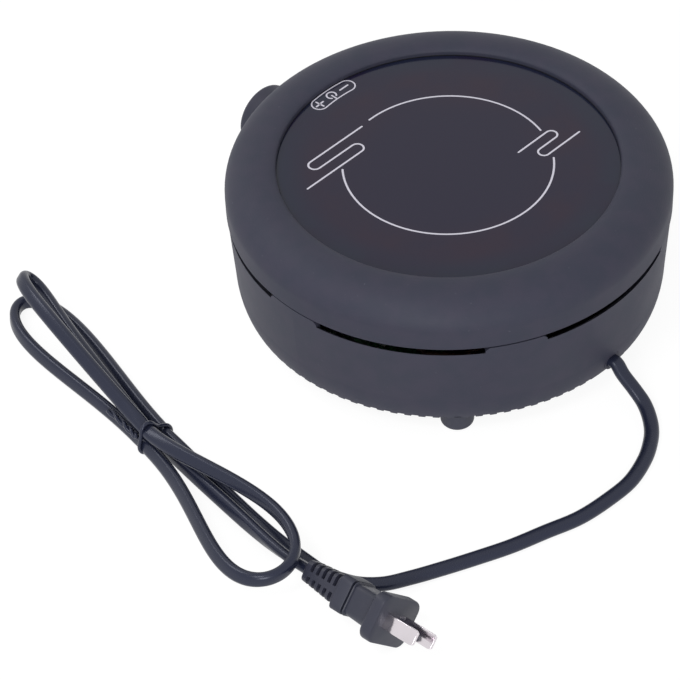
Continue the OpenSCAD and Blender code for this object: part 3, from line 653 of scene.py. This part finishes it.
SHEET = Metal("sheet_steel", (0.52, 0.52, 0.51), (0.38, 0.38, 0.39), 0.36)
SCREW = Metal("screw_steel", (0.6, 0.59, 0.56), (0.42, 0.4, 0.36), 0.3, grain=Grain.EVEN, line=0.3)
SINK = Metal("sink_aluminium", (0.72, 0.72, 0.73), (0.6, 0.6, 0.61), 0.34, grain=Grain.ALONG_Y)
COPPER = Metal("copper", (0.72, 0.36, 0.2), (0.5, 0.2, 0.1), 0.32, line=0.25)
ALLOY = Metal("heater_alloy", (0.26, 0.2, 0.17), (0.12, 0.1, 0.12), 0.5, line=0.8, cloud=18.0)
NICKEL = Metal("plug_metal", (0.72, 0.67, 0.71), (0.66, 0.62, 0.65), 0.1, line=0.3, depth=0.001)
INSULATION = Fired("insulation_board", (0.68, 0.65, 0.58), (0.78, 0.76, 0.7), 0.92, grain=Grain.FIBRE, depth=0.12)
CERAMIC = Fired("ceramic", (0.72, 0.69, 0.62), (0.62, 0.59, 0.52), 0.42, pit=0.8, depth=0.02)
FUSE = Fired("fuse_ceramic", (0.78, 0.76, 0.72), (0.7, 0.68, 0.62), 0.35, pit=0.6, depth=0.015)
YELLOW = Fired("component_yellow", (0.62, 0.4, 0.05), (0.52, 0.32, 0.04), 0.4, pit=0.7, depth=0.015)
GREEN = Fired("component_green", (0.05, 0.26, 0.12), (0.04, 0.2, 0.09), 0.42, pit=0.5, depth=0.012)
# The board's green is partly its lacquer and partly painted shade: it is set darker than a bare board to stand for the
# shade inside the housing.
BOARD = BoardLaminate("circuit_board", (0.01, 0.05, 0.022), (0.05, 0.2, 0.08), 0.4)
JACKET = Sheath("cord_jacket", (0.014, 0.017, 0.036), (0.03, 0.034, 0.055), 0.27)
BROWN = Sheath("wire_brown", (0.16, 0.06, 0.03), (0.22, 0.1, 0.06), 0.45)
WHITE = Sheath("wire_white", (0.66, 0.64, 0.58), (0.55, 0.52, 0.46), 0.7)
RED = Sheath("wire_red", (0.42, 0.03, 0.025), (0.5, 0.07, 0.05), 0.42)
GREY = Sheath("wire_grey", (0.32, 0.32, 0.33), (0.4, 0.4, 0.41), 0.45)
INK = Coat("glass_print", (0.74, 0.72, 0.82), (0.5, 0.48, 0.56), 0.4, patch=0.5, detail=2.0, span=(0.55, 0.8),
           share=0.4, dull=0.0, uneven=0.15, depth=0.008, gloss=0.5)


# Mains lead


@dataclass(frozen=True)
class Fold:
    """One loop of the hank, out from the tie and back; pairs are for the strand out and the strand back.

    side is 1 away from the plug and -1 towards it, and hand is the side to which the strand out swings. spread is
    how far a strand swings aside, snug the power that keeps it with the others, splay the angle by which its width
    leans out, and flat the share of the loop in which it turns to lie flat on them. drift and rise are how far the
    tip goes aside, as a share of the length, and up, and lean is the angle at which the loop stands up.
    """

    side: int
    hand: int
    length: float
    spread: Pair
    drift: float
    rise: float
    first: Pair
    last: Pair
    snug: Pair
    splay: Pair
    flat: Pair = (0, 0)
    lean: float = 0.0


@dataclass
class LeadRoute:
    """Route of the mains lead, in millimetres from the housing's axis on the floor.

    The hank's own axes start at the tie's foot: along the loops away from the plug, across them, and up. A slot is
    the place of a strand in the tie, across and up.
    """

    width: float = 6.4
    thick: float = 4.4
    step: float = 0.75
    exit: Point = (0.0, 92.581, 0.0)
    exit_z: float = 14.0
    straight: float = 2.4
    free: Sequence[Point] = (
        (1, 7, 11.2), (1.7, 14.2, 7.4), (3.2, 20.6, 4.8), (7.1, 27.1, 3.2), (11.9, 32.2, 2.4), (18.7, 36.8, 2.4),
        (26, 40.3, 2.4), (39, 43.8, 2.4), (52, 43.8, 2.4), (68, 41.8, 2.4), (83, 36.8, 2.4), (98, 31.8, 2.4),
        (112, 25.8, 2.4), (125, 19.8, 2.4), (137, 13.8, 2.4), (147, 7.8, 2.4), (154, -0.2, 2.4), (158, -10.2, 2.4))
    join: Point = (159.0, -26.2, 2.4)
    join_pull: float = 30.0
    tie: Point = (155.0, -115.2, 0.0)
    turn: float = -98.0
    slots: Sequence[Pair] = ((-5.2, 4.9), (5.2, 4.9), (1.0, 12.1), (0.0, 4.9))
    twist: float = 75.0
    nudge: float = 2.4
    nudge_span: Pair = (0.34, 0.24)
    splay_span: Pair = (0.08, 0.2)
    plug: Point = (165.5, -14.7, 9.15)
    plug_pull: float = 35.0
    plug_depth: float = 1.5
    pitch: float = 6.5
    roll: float = 46.5
    sidle: float = -0.7
    lift: float = 0.7
    tilt: float = 40.0

    def folds(self) -> tuple[Fold, ...]:
        """Loops of the hank.

        Returns:
            They, in order from the housing's end of the lead.
        """
        a, b, c, d = self.slots
        return (Fold(side=1, hand=-1, length=106, spread=(12.5, 15.5), drift=-0.03, rise=-1.5, first=a, last=b,
                     snug=(2.36, 3), splay=(50, 26)),
                Fold(side=-1, hand=1, length=99.7, spread=(24.5, 24.0), drift=0.056, rise=6.5, first=b, last=c,
                     snug=(3.44, 2.05), splay=(40, 0), flat=(0, 0.42)),
                Fold(side=1, hand=1, length=102.5, spread=(12.8, 12.0), drift=-0.052, rise=11.5, first=c, last=d,
                     snug=(1.95, 10.8), splay=(29, 0), flat=(0.18, 0), lean=43))

    def from_exit(self, point: Sequence[float]) -> Points:
        """Point given from below the lead's exit."""
        return np.add(self.exit, point)

    def swing(self, vectors: Points) -> Points:
        """Directions of the hank's own axes turned to the housing's."""
        a = math.radians(self.turn)
        return vectors @ np.array([[math.cos(a), math.sin(a), 0], [-math.sin(a), math.cos(a), 0], [0, 0, 1]])

    def in_hank(self, points: Points) -> Points:
        """Points of the hank's own axes, from the tie's foot."""
        return self.from_exit(self.tie) + self.swing(points)

    def at_slot(self, slot: Pair) -> Points:
        """Place of a strand in the tie."""
        return self.in_hank(np.array([0.0, *slot]))

    def fold_line(self, fold: Fold, s: Points) -> tuple[Points, Points]:
        """Centres and wide directions along a fold.

        Args:
            fold: Loop of the hank.
            s: Shares of the loop, from 0 to 1.

        Returns:
            Points and directions.
        """
        far = np.sin(math.pi * s) ** 2
        reach = fold.length * far
        spread, snug = (np.where(s < 0.5, *pair) for pair in (fold.spread, fold.snug))
        gape = fold.hand * spread * np.sin(2 * math.pi * s) * np.sin(math.pi * s) ** snug
        over = np.sin(math.pi / 2 * s)[:, None] ** 2
        cross = np.array(fold.first) * (1 - over) + np.array(fold.last) * over
        lean = math.radians(fold.lean)
        points = np.stack([fold.side * reach, cross[:, 0] + gape * math.cos(lean) + fold.drift * reach,
                           cross[:, 1] + gape * math.sin(lean) + fold.rise * far], 1)
        turn = lean * far
        splay_in, splay_out = self.splay_span
        nudge_to, nudge_fade = self.nudge_span
        for flat, splay, share in zip(fold.flat, fold.splay, (s, 1 - s)):
            turn = turn + math.radians(splay) * ease(share / splay_in) * ease((0.5 - share) / splay_out)
            if flat:
                turn = turn + math.radians(self.twist) * ease(1 - share / flat)
                points[:, 1] += self.nudge * ease((nudge_to - share) / nudge_fade)
        wide = np.stack([0 * s, -np.sin(turn), np.cos(turn)], 1)
        return self.in_hank(points), self.swing(wide)

    def plug_axes(self) -> Points:
        """Plug's own axes.

        Returns:
            Directions along it, across its blades and along their width.
        """
        p, r = math.radians(self.pitch), math.radians(self.roll)
        along = np.array([0.0, math.cos(p), math.sin(p)])
        across = np.array([-math.cos(r), math.sin(r) * math.sin(p), -math.sin(r) * math.cos(p)])
        return np.stack([along, across, np.cross(along, across)])

    def to_plug(self) -> tuple[Points, Points]:
        """Run from the tie into the plug.

        Returns:
            Centres and the directions of the lead's width there.
        """
        start, plug, axis = self.at_slot(self.slots[-1]), self.from_exit(self.plug), self.plug_axes()[0]
        share = np.linspace(0, 1, 81)
        middle = np.sin(math.pi * share) ** 2
        points = bezier(start, start - self.swing(EAST) * self.plug_pull, plug - axis * self.plug_pull,
                        plug - axis * self.width, share)
        points += np.outer(middle, (self.sidle, 0.0, self.lift))
        tilt = np.radians((90 - self.roll) * share ** 3 - self.tilt * middle)
        wide = np.stack([np.sin(tilt), 0 * tilt, np.cos(tilt)], 1)
        return np.vstack([points, plug, plug + axis * self.plug_depth]), np.vstack([wide, wide[-1:], wide[-1:]])

    def line(self) -> tuple[Points, Points]:
        """Whole route of the lead.

        Returns:
            Centres one step apart and the directions of the lead's width there.
        """
        ahead = -NORTH
        join = self.from_exit(self.join)
        first = [self.from_exit((0, out, self.exit_z)) for out in (0, self.straight)]
        last = [join - ahead * 2 * self.width, join - ahead * self.width, join]
        lead = smooth_line(np.array([*first, *map(self.from_exit, self.free), *last]), 12)
        lead_wide = unit(np.cross(headings(lead), UP))
        share = np.linspace(0, 1, 80, endpoint=False)
        slot = self.at_slot(self.slots[0])
        run = bezier(join + ahead * self.width, join + ahead * self.join_pull,
                     slot - self.swing(EAST) * self.join_pull, slot, share)
        turn = (share * math.pi / 2)[:, None]
        run_wide = unit(np.cross(ahead, UP)) * np.cos(turn) + UP * np.sin(turn)
        folds = [self.fold_line(f, np.linspace(0, 1, 240, endpoint=False)) for f in self.folds()]
        parts = [(lead, lead_wide), (run, run_wide), *folds, self.to_plug()]
        points, wides = (np.vstack(stack) for stack in zip(*parts))
        return tuple(even_steps(points, self.step, wides))


@dataclass
class MainsLead:
    """Flat-oval lead from the housing to the plug, with its hank."""

    route: LeadRoute
    sides: int = 24
    crease: float = 60.0
    length: float = 1.066

    def build(self) -> Object:
        """Makes the lead as one tube along its route.

        Returns:
            The piece.
        """
        points, wide = self.route.line()
        skin, faces = loft(sweep(points, wide, flat_oval(self.route.width, self.route.thick, self.sides)))
        return fit("mains_lead", (row(skin), faces), JACKET, self.crease, Slot.JACKET, "cord_lead", "cord_hank")

    def declare(self, on_it: Sequence[Object]) -> None:
        """Works out the lead's start and its route's points, and keeps neither.

        Args:
            on_it: Not used.
        """
        start = row(self.route.from_exit((0, 0, self.route.exit_z)))
        row(self.route.line()[0][::2]).tolist()


@dataclass
class WireTie:
    """Sheathed wire round the hank, its two ends twisted into a tail that lies on the first loop."""

    route: LeadRoute
    wire: float = 0.85
    section: Pair = (2.1, 1.9)
    crease: float = 60.0
    clear: float = 0.87
    hug: float = 0.6
    smoothing: int = 5
    sway: float = 0.5
    sway_from: float = 0.6
    tail_span: Pair = (0.962, 0.845)
    tail_place: Pair = (2.2, 4.05)
    tail_turns: float = 2.1
    tail_r: float = 0.78
    tail_pinch: float = 0.1
    tail_close: float = 0.125
    tail_neat: float = 60.0

    def loop(self) -> Points:
        """Course of the wire round the bundle.

        Returns:
            Centres, in the hank's own axes.
        """
        route = self.route
        strands = np.array(route.slots)
        strands[2, 0] += route.nudge
        angle = np.radians(np.arange(0, 360, 1.0))
        out = np.stack([np.cos(angle), np.sin(angle)], 1)
        flank = (route.width - route.thick) / 2
        reach = strands @ out.T + flank * np.abs(out[:, 1])
        place = strands[reach.argmax(0)] + np.stack([0 * angle, flank * np.sign(out[:, 1])], 1)
        place = place + (route.thick / 2 + self.clear) * out
        ring = np.column_stack([self.sway * np.sin(angle - self.sway_from), place])
        ring = even_steps(np.vstack([ring, ring[:1]]), 0.5)[0][:-1]
        apart = np.abs(ring[:, None, 1:] - strands)
        apart[..., 1] = np.maximum(apart[..., 1] - flank, 0)
        slack = np.linalg.norm(apart, axis=2).min(1) - route.thick / 2 - self.clear
        inward = unit(np.append(0.0, strands.mean(0)) - ring * (0, 1, 1))
        ring = ring + inward * (self.hug * np.maximum(slack, 0.0))[:, None]
        shifts = range(-self.smoothing, self.smoothing + 1)
        return sum(np.roll(ring, k, 0) for k in shifts) / len(shifts)

    def tail(self) -> list[Points]:
        """Course of the two twisted wires.

        Returns:
            Centres of each.
        """
        share = np.linspace(0, 1, 90)
        bed, _ = self.route.fold_line(self.route.folds()[0], np.linspace(*self.tail_span, len(share)))
        side = self.route.swing(NORTH)
        aside, above = self.tail_place
        core = bed + UP * above + side * aside
        turn = 2 * math.pi * self.tail_turns * share
        close = np.minimum(1, share / self.tail_close)[:, None]
        made = []
        for start in (0.0, math.pi):
            wave = np.cos(turn + start)[:, None] * side + np.sin(turn + start)[:, None] * UP
            made.append(even_steps(core + wave * self.wire * (self.tail_r - self.tail_pinch * (1 - close)), 0.4)[0])
        return made

    def build(self) -> Object:
        """Makes the loop and its tail.

        Returns:
            The piece.
        """
        section = flat_oval(*(self.wire * size for size in self.section), 12)
        ring = self.route.in_hank(self.loop())
        parts = [loft(sweep(ring, self.route.swing(EAST), section, True), True)]
        for line in self.tail():
            share = np.linspace(0, 1, len(line))
            neat = np.sqrt(np.clip(np.minimum(share, 1 - share) * self.tail_neat, 0.05, 1.0))[:, None, None]
            parts.append(loft(sweep(line, UP, section * neat)))
        skin, faces = join_meshes(parts)
        return fit("wire_tie", (row(skin), faces), JACKET, self.crease, Slot.JACKET, "hank_tie")


@dataclass
class MainsPlug:
    """Two-blade plug: slotted relief, collar, throat and face, with its blades.

    fine is where the stations lie close together, for the slots: from, to and step.
    """

    route: LeadRoute
    relief: float = 20.5
    collar: float = 8.0
    throat: float = 13.5
    face: Point = (5.5, 25.0, 20.0)
    slot_first: float = 5.0
    slot_last: int = 4
    slot_depth: float = 2.0
    slot_pitch: float = 3.35
    slot_wide: float = 1.4
    slot_edge: float = 0.24
    spine: Pair = (-0.32, 0.16)
    spine_edge: float = 0.3
    fine: Point = (3.5, 19.9, 0.16)
    corner_points: int = 7
    side_points: int = 15
    crease: float = 42.0
    blade: Point = (16.0, 6.3, 1.5)
    blade_root: float = 2.0
    blade_taper: Pair = (1.2, 0.7)
    blade_edge: float = 0.22
    blade_crease: float = 35.0
    blade_pitch: float = 12.7

    @property
    def length(self) -> float:
        """Length of the moulding."""
        return self.relief + self.collar + self.throat + self.face[0]

    def to_row(self, points: Points) -> Points:
        """Points of the plug's own axes in the row frame."""
        return row(self.route.from_exit(self.route.plug) + points @ self.route.plug_axes())

    def profile(self) -> Points:
        """Stations of the moulding.

        Returns:
            Place, width, height and corner radius of each.
        """
        neck = self.relief + self.collar
        end = neck + self.throat
        _, w, h = self.face
        ring, step = self.relief, 0.05
        return np.array([
            (0.4, 6.6, 6.6, 2.2), (1.0, 7.4, 7.4, 2.2), (1.5, 9.0, 9.0, 2.2), (ring, 12.4, 12.4, 2.4),
            (ring + step, 13.4, 13.4, 2.2), (ring + 0.6, 14.9, 14.9, 2.4), (ring + 5.9, 14.9, 14.9, 2.4),
            (ring + 6.3, 14.4, 14.4, 2.3), (ring + 6.3 + step, 12.0, 12.0, 2.0), (ring + 7.1, 12.0, 12.0, 2.0),
            (ring + 7.1 + step, 13.8, 13.8, 2.2), (ring + 7.4, 14.6, 14.6, 2.4), (ring + 7.8, 14.2, 14.2, 2.3),
            (neck, 13.2, 13.2, 2.4), (end - 3.5, 15.0, 13.9, 2.6), (end - 2.5, 16.0, 14.5, 2.8),
            (end - 1.4, 19.0, 16.2, 3.2), (end - 0.6, 22.2, 18.2, 3.8), (end - 0.1, w - 1.2, h - 1.0, 4.1),
            (end + 0.4, w - 0.3, h - 0.2, 4.4), (end + 0.9, w, h, 4.5), (self.length - 0.9, w, h, 4.5),
            (self.length - 0.3, w - 0.35, h - 0.35, 4.4), (self.length, w - 1.4, h - 1.4, 4.0)])

    def moulding(self) -> Object:
        """Makes the moulding as one skin, with slots sunk into its relief beside a spine.

        Returns:
            The piece.
        """
        table = self.profile()
        places = np.unique(np.round(np.concatenate([table[:, 0], np.arange(*self.fine)]), 3))
        sizes = [np.interp(places, table[:, 0], table[:, k]) for k in (1, 2, 3)]
        rings = []
        for x, w, h, r in zip(places, *sizes):
            outline = rounded_box(w, h, r, self.corner_points, self.side_points)
            k = np.clip(np.round((x - self.slot_first) / self.slot_pitch), 0, self.slot_last)
            near = abs(x - self.slot_first - k * self.slot_pitch)
            open_here = np.clip((self.slot_wide / 2 + self.slot_edge / 2 - near) / self.slot_edge, 0, 1)
            low, high = np.array(self.spine) * h / 2
            clear = np.clip(np.maximum(low - outline[:, 1], outline[:, 1] - high) / self.spine_edge, 0, 1)
            room = np.array([w, h]) / 2 - self.slot_depth
            over = np.maximum(np.abs(outline) - room, 0.0)
            outline = outline - np.sign(outline) * over * open_here * clear[:, None]
            rings.append(np.column_stack([np.full(len(outline), x), outline]))
        skin, faces = loft(np.array(rings))
        return fit("plug_moulding", (self.to_row(skin), faces), PLUG, self.crease, Slot.PLUG, "plug_body")

    def blades(self) -> Object:
        """Makes the two blades with eased edges and tapered tips.

        Returns:
            The piece.
        """
        length, width, thick = self.blade
        back, inward = self.blade_taper
        half = width / 2
        tip = np.array([(-self.blade_root, -half), (length - back, -half), (length, inward - half),
                        (length, half - inward), (length - back, half), (-self.blade_root, half)])
        shell = bmesh.new()
        for side in (-1, 1):
            near, far = ([shell.verts.new((self.length + x, side * self.blade_pitch / 2 + face * thick / 2, z))
                          for x, z in loop] for face, loop in ((-1, tip), (1, tip[::-1])))
            shell.faces.new(near)
            shell.faces.new(far)
            far.reverse()
            for j in range(len(tip)):
                k = (j + 1) % len(tip)
                shell.faces.new([near[k], near[j], far[j], far[k]])
        bmesh.ops.recalc_face_normals(shell, faces=shell.faces)
        bmesh.ops.bevel(shell, geom=list(shell.edges), offset=self.blade_edge, segments=3, affect="EDGES", profile=0.5)
        skin = np.array([v.co for v in shell.verts])
        shell.verts.index_update()
        faces = [[v.index for v in f.verts] for f in shell.faces]
        shell.free()
        return fit("plug_blade_pair", (self.to_row(skin), faces), NICKEL, self.blade_crease, Slot.BLADES, "plug_blades")


# Print on the glass


@dataclass
class GlassPrint:
    """Printed heating zone and control legend, in millimetres from the housing's axis."""

    top: float = 69.2
    lift: float = 0.02
    line: float = 0.85
    zone_r: float = 44.6
    legend_r: float = 68.4
    legend_half: float = 3.6
    legend_span: float = 7.0
    frame_line: float = 0.62
    sign_line: float = 0.8
    power_line: float = 0.72
    plus_half: float = 2.15
    minus_half: float = 2.35
    power_r: float = 2.15
    power_gap: float = 38.0

    def arc(self, r: float, first: float, last: float, centre: Sequence[float] = (0.0, 0.0)) -> Points:
        """Points of an arc, angles in degrees."""
        a = np.radians(np.linspace(first, last, max(6, int(abs(last - first) * max(r, 6) / 40))))
        return np.stack([centre[0] + r * np.cos(a), centre[1] + r * np.sin(a)], 1)

    def on_legend(self, angle: float) -> Points:
        """Point on the legend's middle line, its angle in degrees."""
        return self.arc(self.legend_r, angle, angle + 1)[0]

    def coil_mark(self, ys: Sequence[float], turns: Sequence[float], start: float, end: float) -> Points:
        """Line that doubles back twice.

        Args:
            ys: Its three straight runs.
            turns: Centres of its two bends.
            start: Where the first run starts.
            end: Where the last run ends.

        Returns:
            Points of the line.
        """
        way = math.copysign(1, turns[0] - start)
        a = np.radians(np.linspace(-90, 90, 16))
        bends = []
        for x, low, high, bulge in zip(turns, ys, ys[1:], (way, -way)):
            r = (high - low) / 2
            bends.append(np.stack([x + bulge * r * np.cos(a), (low + high) / 2 + r * np.sin(a)], 1))
        return np.vstack([[(start, ys[0])], *bends, [(end, ys[2])]])

    def strokes(self) -> list[tuple[Points, float, bool]]:
        """Every printed line.

        Returns:
            Points, width and whether it closes, for each.
        """
        zone = [self.arc(self.zone_r, -87.8, -199.1), self.arc(self.zone_r, -42.8, 136.6),
                self.coil_mark((-43.9, -38.25, -32.6), (38.4, 18.6), 7.0, 51.3),
                self.coil_mark((17.3, 22.5, 27.5), (-43.0, -32.6), -25.1, -52.4)]
        made = [(z, self.line, False) for z in zone]
        r, half, span = self.legend_r, self.legend_half, self.legend_span
        right = self.arc(half, -90 + span, 90 + span, self.on_legend(-90 + span))
        left = self.arc(half, 90 - span, 270 - span, self.on_legend(-90 - span))
        pill = np.vstack([self.arc(r + half, -90 - span, -90 + span), right[1:-1],
                          self.arc(r - half, -90 + span, -90 - span), left[1:-1]])
        made.append((pill, self.frame_line, True))
        plus, power, minus = map(self.on_legend, (-83.0, -89.4, -95.6))
        for turn in (math.radians(5) + k * math.pi / 2 for k in (0, 1)):
            d = self.plus_half * np.array([math.cos(turn), math.sin(turn)])
            made.append((np.array([plus - d, plus + d]), self.sign_line, False))
        gap, bar = self.power_gap, (self.minus_half, 0.0)
        made.append((self.arc(self.power_r, 90 + gap, 450 - gap, power), self.power_line, False))
        made.append((np.array([power + (0.0, 0.2), power + (0.0, 3.0)]), self.power_line, False))
        made.append((np.array([minus - bar, minus + bar]), self.sign_line, False))
        return made

    def ribbon(self, line: Points, width: float, closed: bool) -> Mesh:
        """Flat ribbon with round ends along a line.

        Args:
            line: Points of the line.
            width: Ribbon's width.
            closed: True for a loop.

        Returns:
            Vertices and faces.
        """
        flat = np.column_stack([line, np.full(len(line), self.top + self.lift)])
        ahead = headings(flat, closed)
        side = np.cross(UP, ahead) * width / 2
        rows = list(zip(flat + side, flat - side))
        if not closed:
            ends = []
            for i, way in ((0, -1), (-1, 1)):
                tip = way * ahead[i] * width / 2
                ends.append([(flat[i] + side[i] * math.cos(t) + tip * math.sin(t),
                              flat[i] - side[i] * math.cos(t) + tip * math.sin(t))
                             for t in np.radians([18, 36, 54, 70, 82])])
            rows = [*reversed(ends[0]), *rows, *ends[1]]
        n = len(rows)
        faces = [[2 * i + 1, 2 * ((i + 1) % n) + 1, 2 * ((i + 1) % n), 2 * i] for i in range(n if closed else n - 1)]
        return np.array(rows).reshape(-1, 3), faces

    def build(self) -> None:
        """Makes the print as one thin piece on the glass."""
        skin, faces = join_meshes(self.ribbon(*stroke) for stroke in self.strokes())
        fit("glass_print", (row(skin), faces), INK, 40.0, None)


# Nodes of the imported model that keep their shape


@dataclass
class Dressed:
    """A sub-assembly whose nodes keep their shape and take finishes."""

    title: str
    nodes: Mapping[Finish, str]

    def dress(self) -> None:
        """Gives each node its finish."""
        for finish, names in self.nodes.items():
            for name in names.split():
                finish.dress(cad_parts[name])
                LOG.info("%s: node %s in %s", self.title, name, finish.name)


def inner_assemblies() -> list[Dressed]:
    """Sub-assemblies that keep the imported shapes, their nodes listed by finish.

    Returns:
        They, in the order they are fitted.
    """
    return [
        Dressed("housing", {SHELL: "top_shell bottom_shell", SCREW: "shell_screws",
                            FOOT: "foot_front_left foot_front_right foot_rear_left foot_rear_right"}),
        Dressed("glass", {GLASS: "glass_plate", SILICONE: "glass_seal glass_pad", SHEET: "glass_retainer",
                          SCREW: "retainer_screws"}),
        Dressed("heater", {SHEET: "heat_shield dish_springs heater_dish", INSULATION: "insulation",
                           ALLOY: "heater_ribbon", CERAMIC: "heater_terminal limiter_tube limiter_head"}),
        Dressed("fan", {BLACK: "fan_frame fan_rotor", COPPER: "fan_stator", SCREW: "fan_screws"}),
        Dressed("power board", {BOARD: "control_board", SCREW: "board_screws", SINK: "heat_sink", BLACK: "triac",
                                YELLOW: "capacitor transformer", GREEN: "terminal_block", FUSE: "fuse"}),
        Dressed("knob", {BLACK: "encoder_case", SCREW: "encoder_nut encoder_plunger knob_shaft", DIAL: "knob"}),
        Dressed("lead entry", {SHELL: "cord_gland", JACKET: "cord_inner cord_lead cord_hank hank_tie",
                               BLACK: "cord_clamp", SCREW: "clamp_screws", PLUG: "plug_body",
                               NICKEL: "plug_blades"}),
        Dressed("wiring", {BROWN: "mains_wires", WHITE: "heater_wires", RED: "fan_wires", GREY: "encoder_wires"}),
    ]


# Stage


@dataclass
class PhotoCamera:
    """Camera at the photograph's place."""

    place: Point = (0.6778, 0.6526, 0.8723)
    right: Point = (-0.6995, 0.7136, -0.0373)
    up: Point = (-0.5159, -0.4683, 0.7173)
    lens: float = 154.25
    sensor: float = 36.0
    clip: Pair = (0.05, 50.0)

    def build(self) -> None:
        """Makes the camera and sets it as the scene's."""
        data = bpy.data.cameras.new("photo_camera")
        data.lens, data.sensor_width = self.lens, self.sensor
        data.clip_start, data.clip_end = self.clip
        camera = bpy.data.objects.new("photo_camera", data)
        x, y = Vector(self.right).normalized(), Vector(self.up)
        z = x.cross(y).normalized()
        y = z.cross(x)
        camera.matrix_world = Matrix.Translation(self.place) @ Matrix((x, y, z)).transposed().to_4x4()
        bpy.context.scene.collection.objects.link(camera)
        bpy.context.scene.camera = camera


@dataclass
class Lamp:
    """A soft square lamp."""

    name: str
    place: Point
    size: float
    power: float

    def build(self, target: Point) -> None:
        """Makes the lamp.

        Args:
            target: Point that it faces.
        """
        data = bpy.data.lights.new(self.name, "AREA")
        data.size, data.energy = self.size, self.power
        lamp = bpy.data.objects.new(self.name, data)
        lamp.location = self.place
        lamp.rotation_euler = (Vector(target) - Vector(self.place)).to_track_quat("-Z", "Y").to_euler()
        bpy.context.scene.collection.objects.link(lamp)


@dataclass
class Studio:
    """White floor, white surround and soft lamps."""

    half: float = 8.0
    floor_z: float = -0.0003
    ambient: float = 0.44
    paper: float = 0.9
    target: Point = (0.05, 0.0, 0.03)
    lamps: Sequence[Lamp] = (
        Lamp("key_lamp", (1.1, 0.1, 1.7), 0.55, 7.5),
        Lamp("fill_lamp", (0.3, -1.3, 1.4), 0.5, 4.0),
        Lamp("front_lamp", (1.4, 1.1, 0.75), 0.7, 12.5))

    def seen(self, bench: Bench) -> Value:
        """Which rays see the stage as white.

        Args:
            bench: Material's or world's tree.

        Returns:
            1 for rays from the camera, a mirror or clear glass, and 0 for the others.
        """
        path = bench.node("LightPath")
        camera, mirror, glass = (Value(path[f"Is {kind} Ray"]) for kind in ("Camera", "Glossy", "Transmission"))
        return camera.either(mirror).either(glass)

    def build(self) -> None:
        """Makes the surround, the floor and the lamps."""
        world = bpy.data.worlds.new("surround")
        world.use_nodes = True
        bench = Bench(world.node_tree)
        level = self.ambient + self.seen(bench) * (1.0 - self.ambient)
        sky = bench.node("Background", {"Color": (1.0, 1.0, 1.0), "Strength": level})[0]
        bench.node("OutputWorld", {"Surface": sky})
        bpy.context.scene.world = world
        h, z = self.half, self.floor_z
        corners = np.array([(-h, -h, z), (h, -h, z), (h, h, z), (-h, h, z)])
        floor = make_object("floor", (corners, [[0, 1, 2, 3]]), 40.0)
        paper = bpy.data.materials.new("floor_paper")
        paper.use_nodes = True
        self.shade_floor(Bench(paper.node_tree))
        floor.data.materials.append(paper)
        for lamp in self.lamps:
            lamp.build(self.target)
        bpy.context.scene.view_settings.view_transform = "Standard"

    def shade_floor(self, bench: Bench) -> None:
        """Fills the floor's nodes: white to the eye with a soft shadow, clear from below.

        Args:
            bench: Material's tree.
        """
        plain = bench.node("BsdfDiffuse", {"Color": (0.92, 0.92, 0.92)})[0]
        shadow = bench.node("BsdfDiffuse", {"Color": (0.18, 0.18, 0.18)})[0]
        glow = bench.node("Emission", {"Color": (1.0, 1.0, 1.0), "Strength": self.paper})[0]
        white = bench.node("AddShader", {0: shadow, 1: glow})[0]
        top = bench.node("MixShader", {0: self.seen(bench), 1: plain, 2: white})[0]
        clear = bench.node("BsdfTransparent")[0]
        below = bench.node("NewGeometry")["Backfacing"]
        both = bench.node("MixShader", {0: below, 1: top, 2: clear})[0]
        bench.node("OutputMaterial", {"Surface": both})


def main() -> None:
    """Builds the lead, the plug, the print, the finishes and the stage."""
    logging.basicConfig(level=logging.INFO, format="%(message)s")
    PhotoCamera().build()
    route = LeadRoute()
    lead = MainsLead(route)
    cord = lead.build()
    tie = WireTie(route).build()
    plug = MainsPlug(route)
    lead.declare([tie, plug.moulding(), plug.blades()])
    GlassPrint().build()
    for assembly in inner_assemblies():
        assembly.dress()
    Studio().build()


if __name__ == "__main__":
    main()
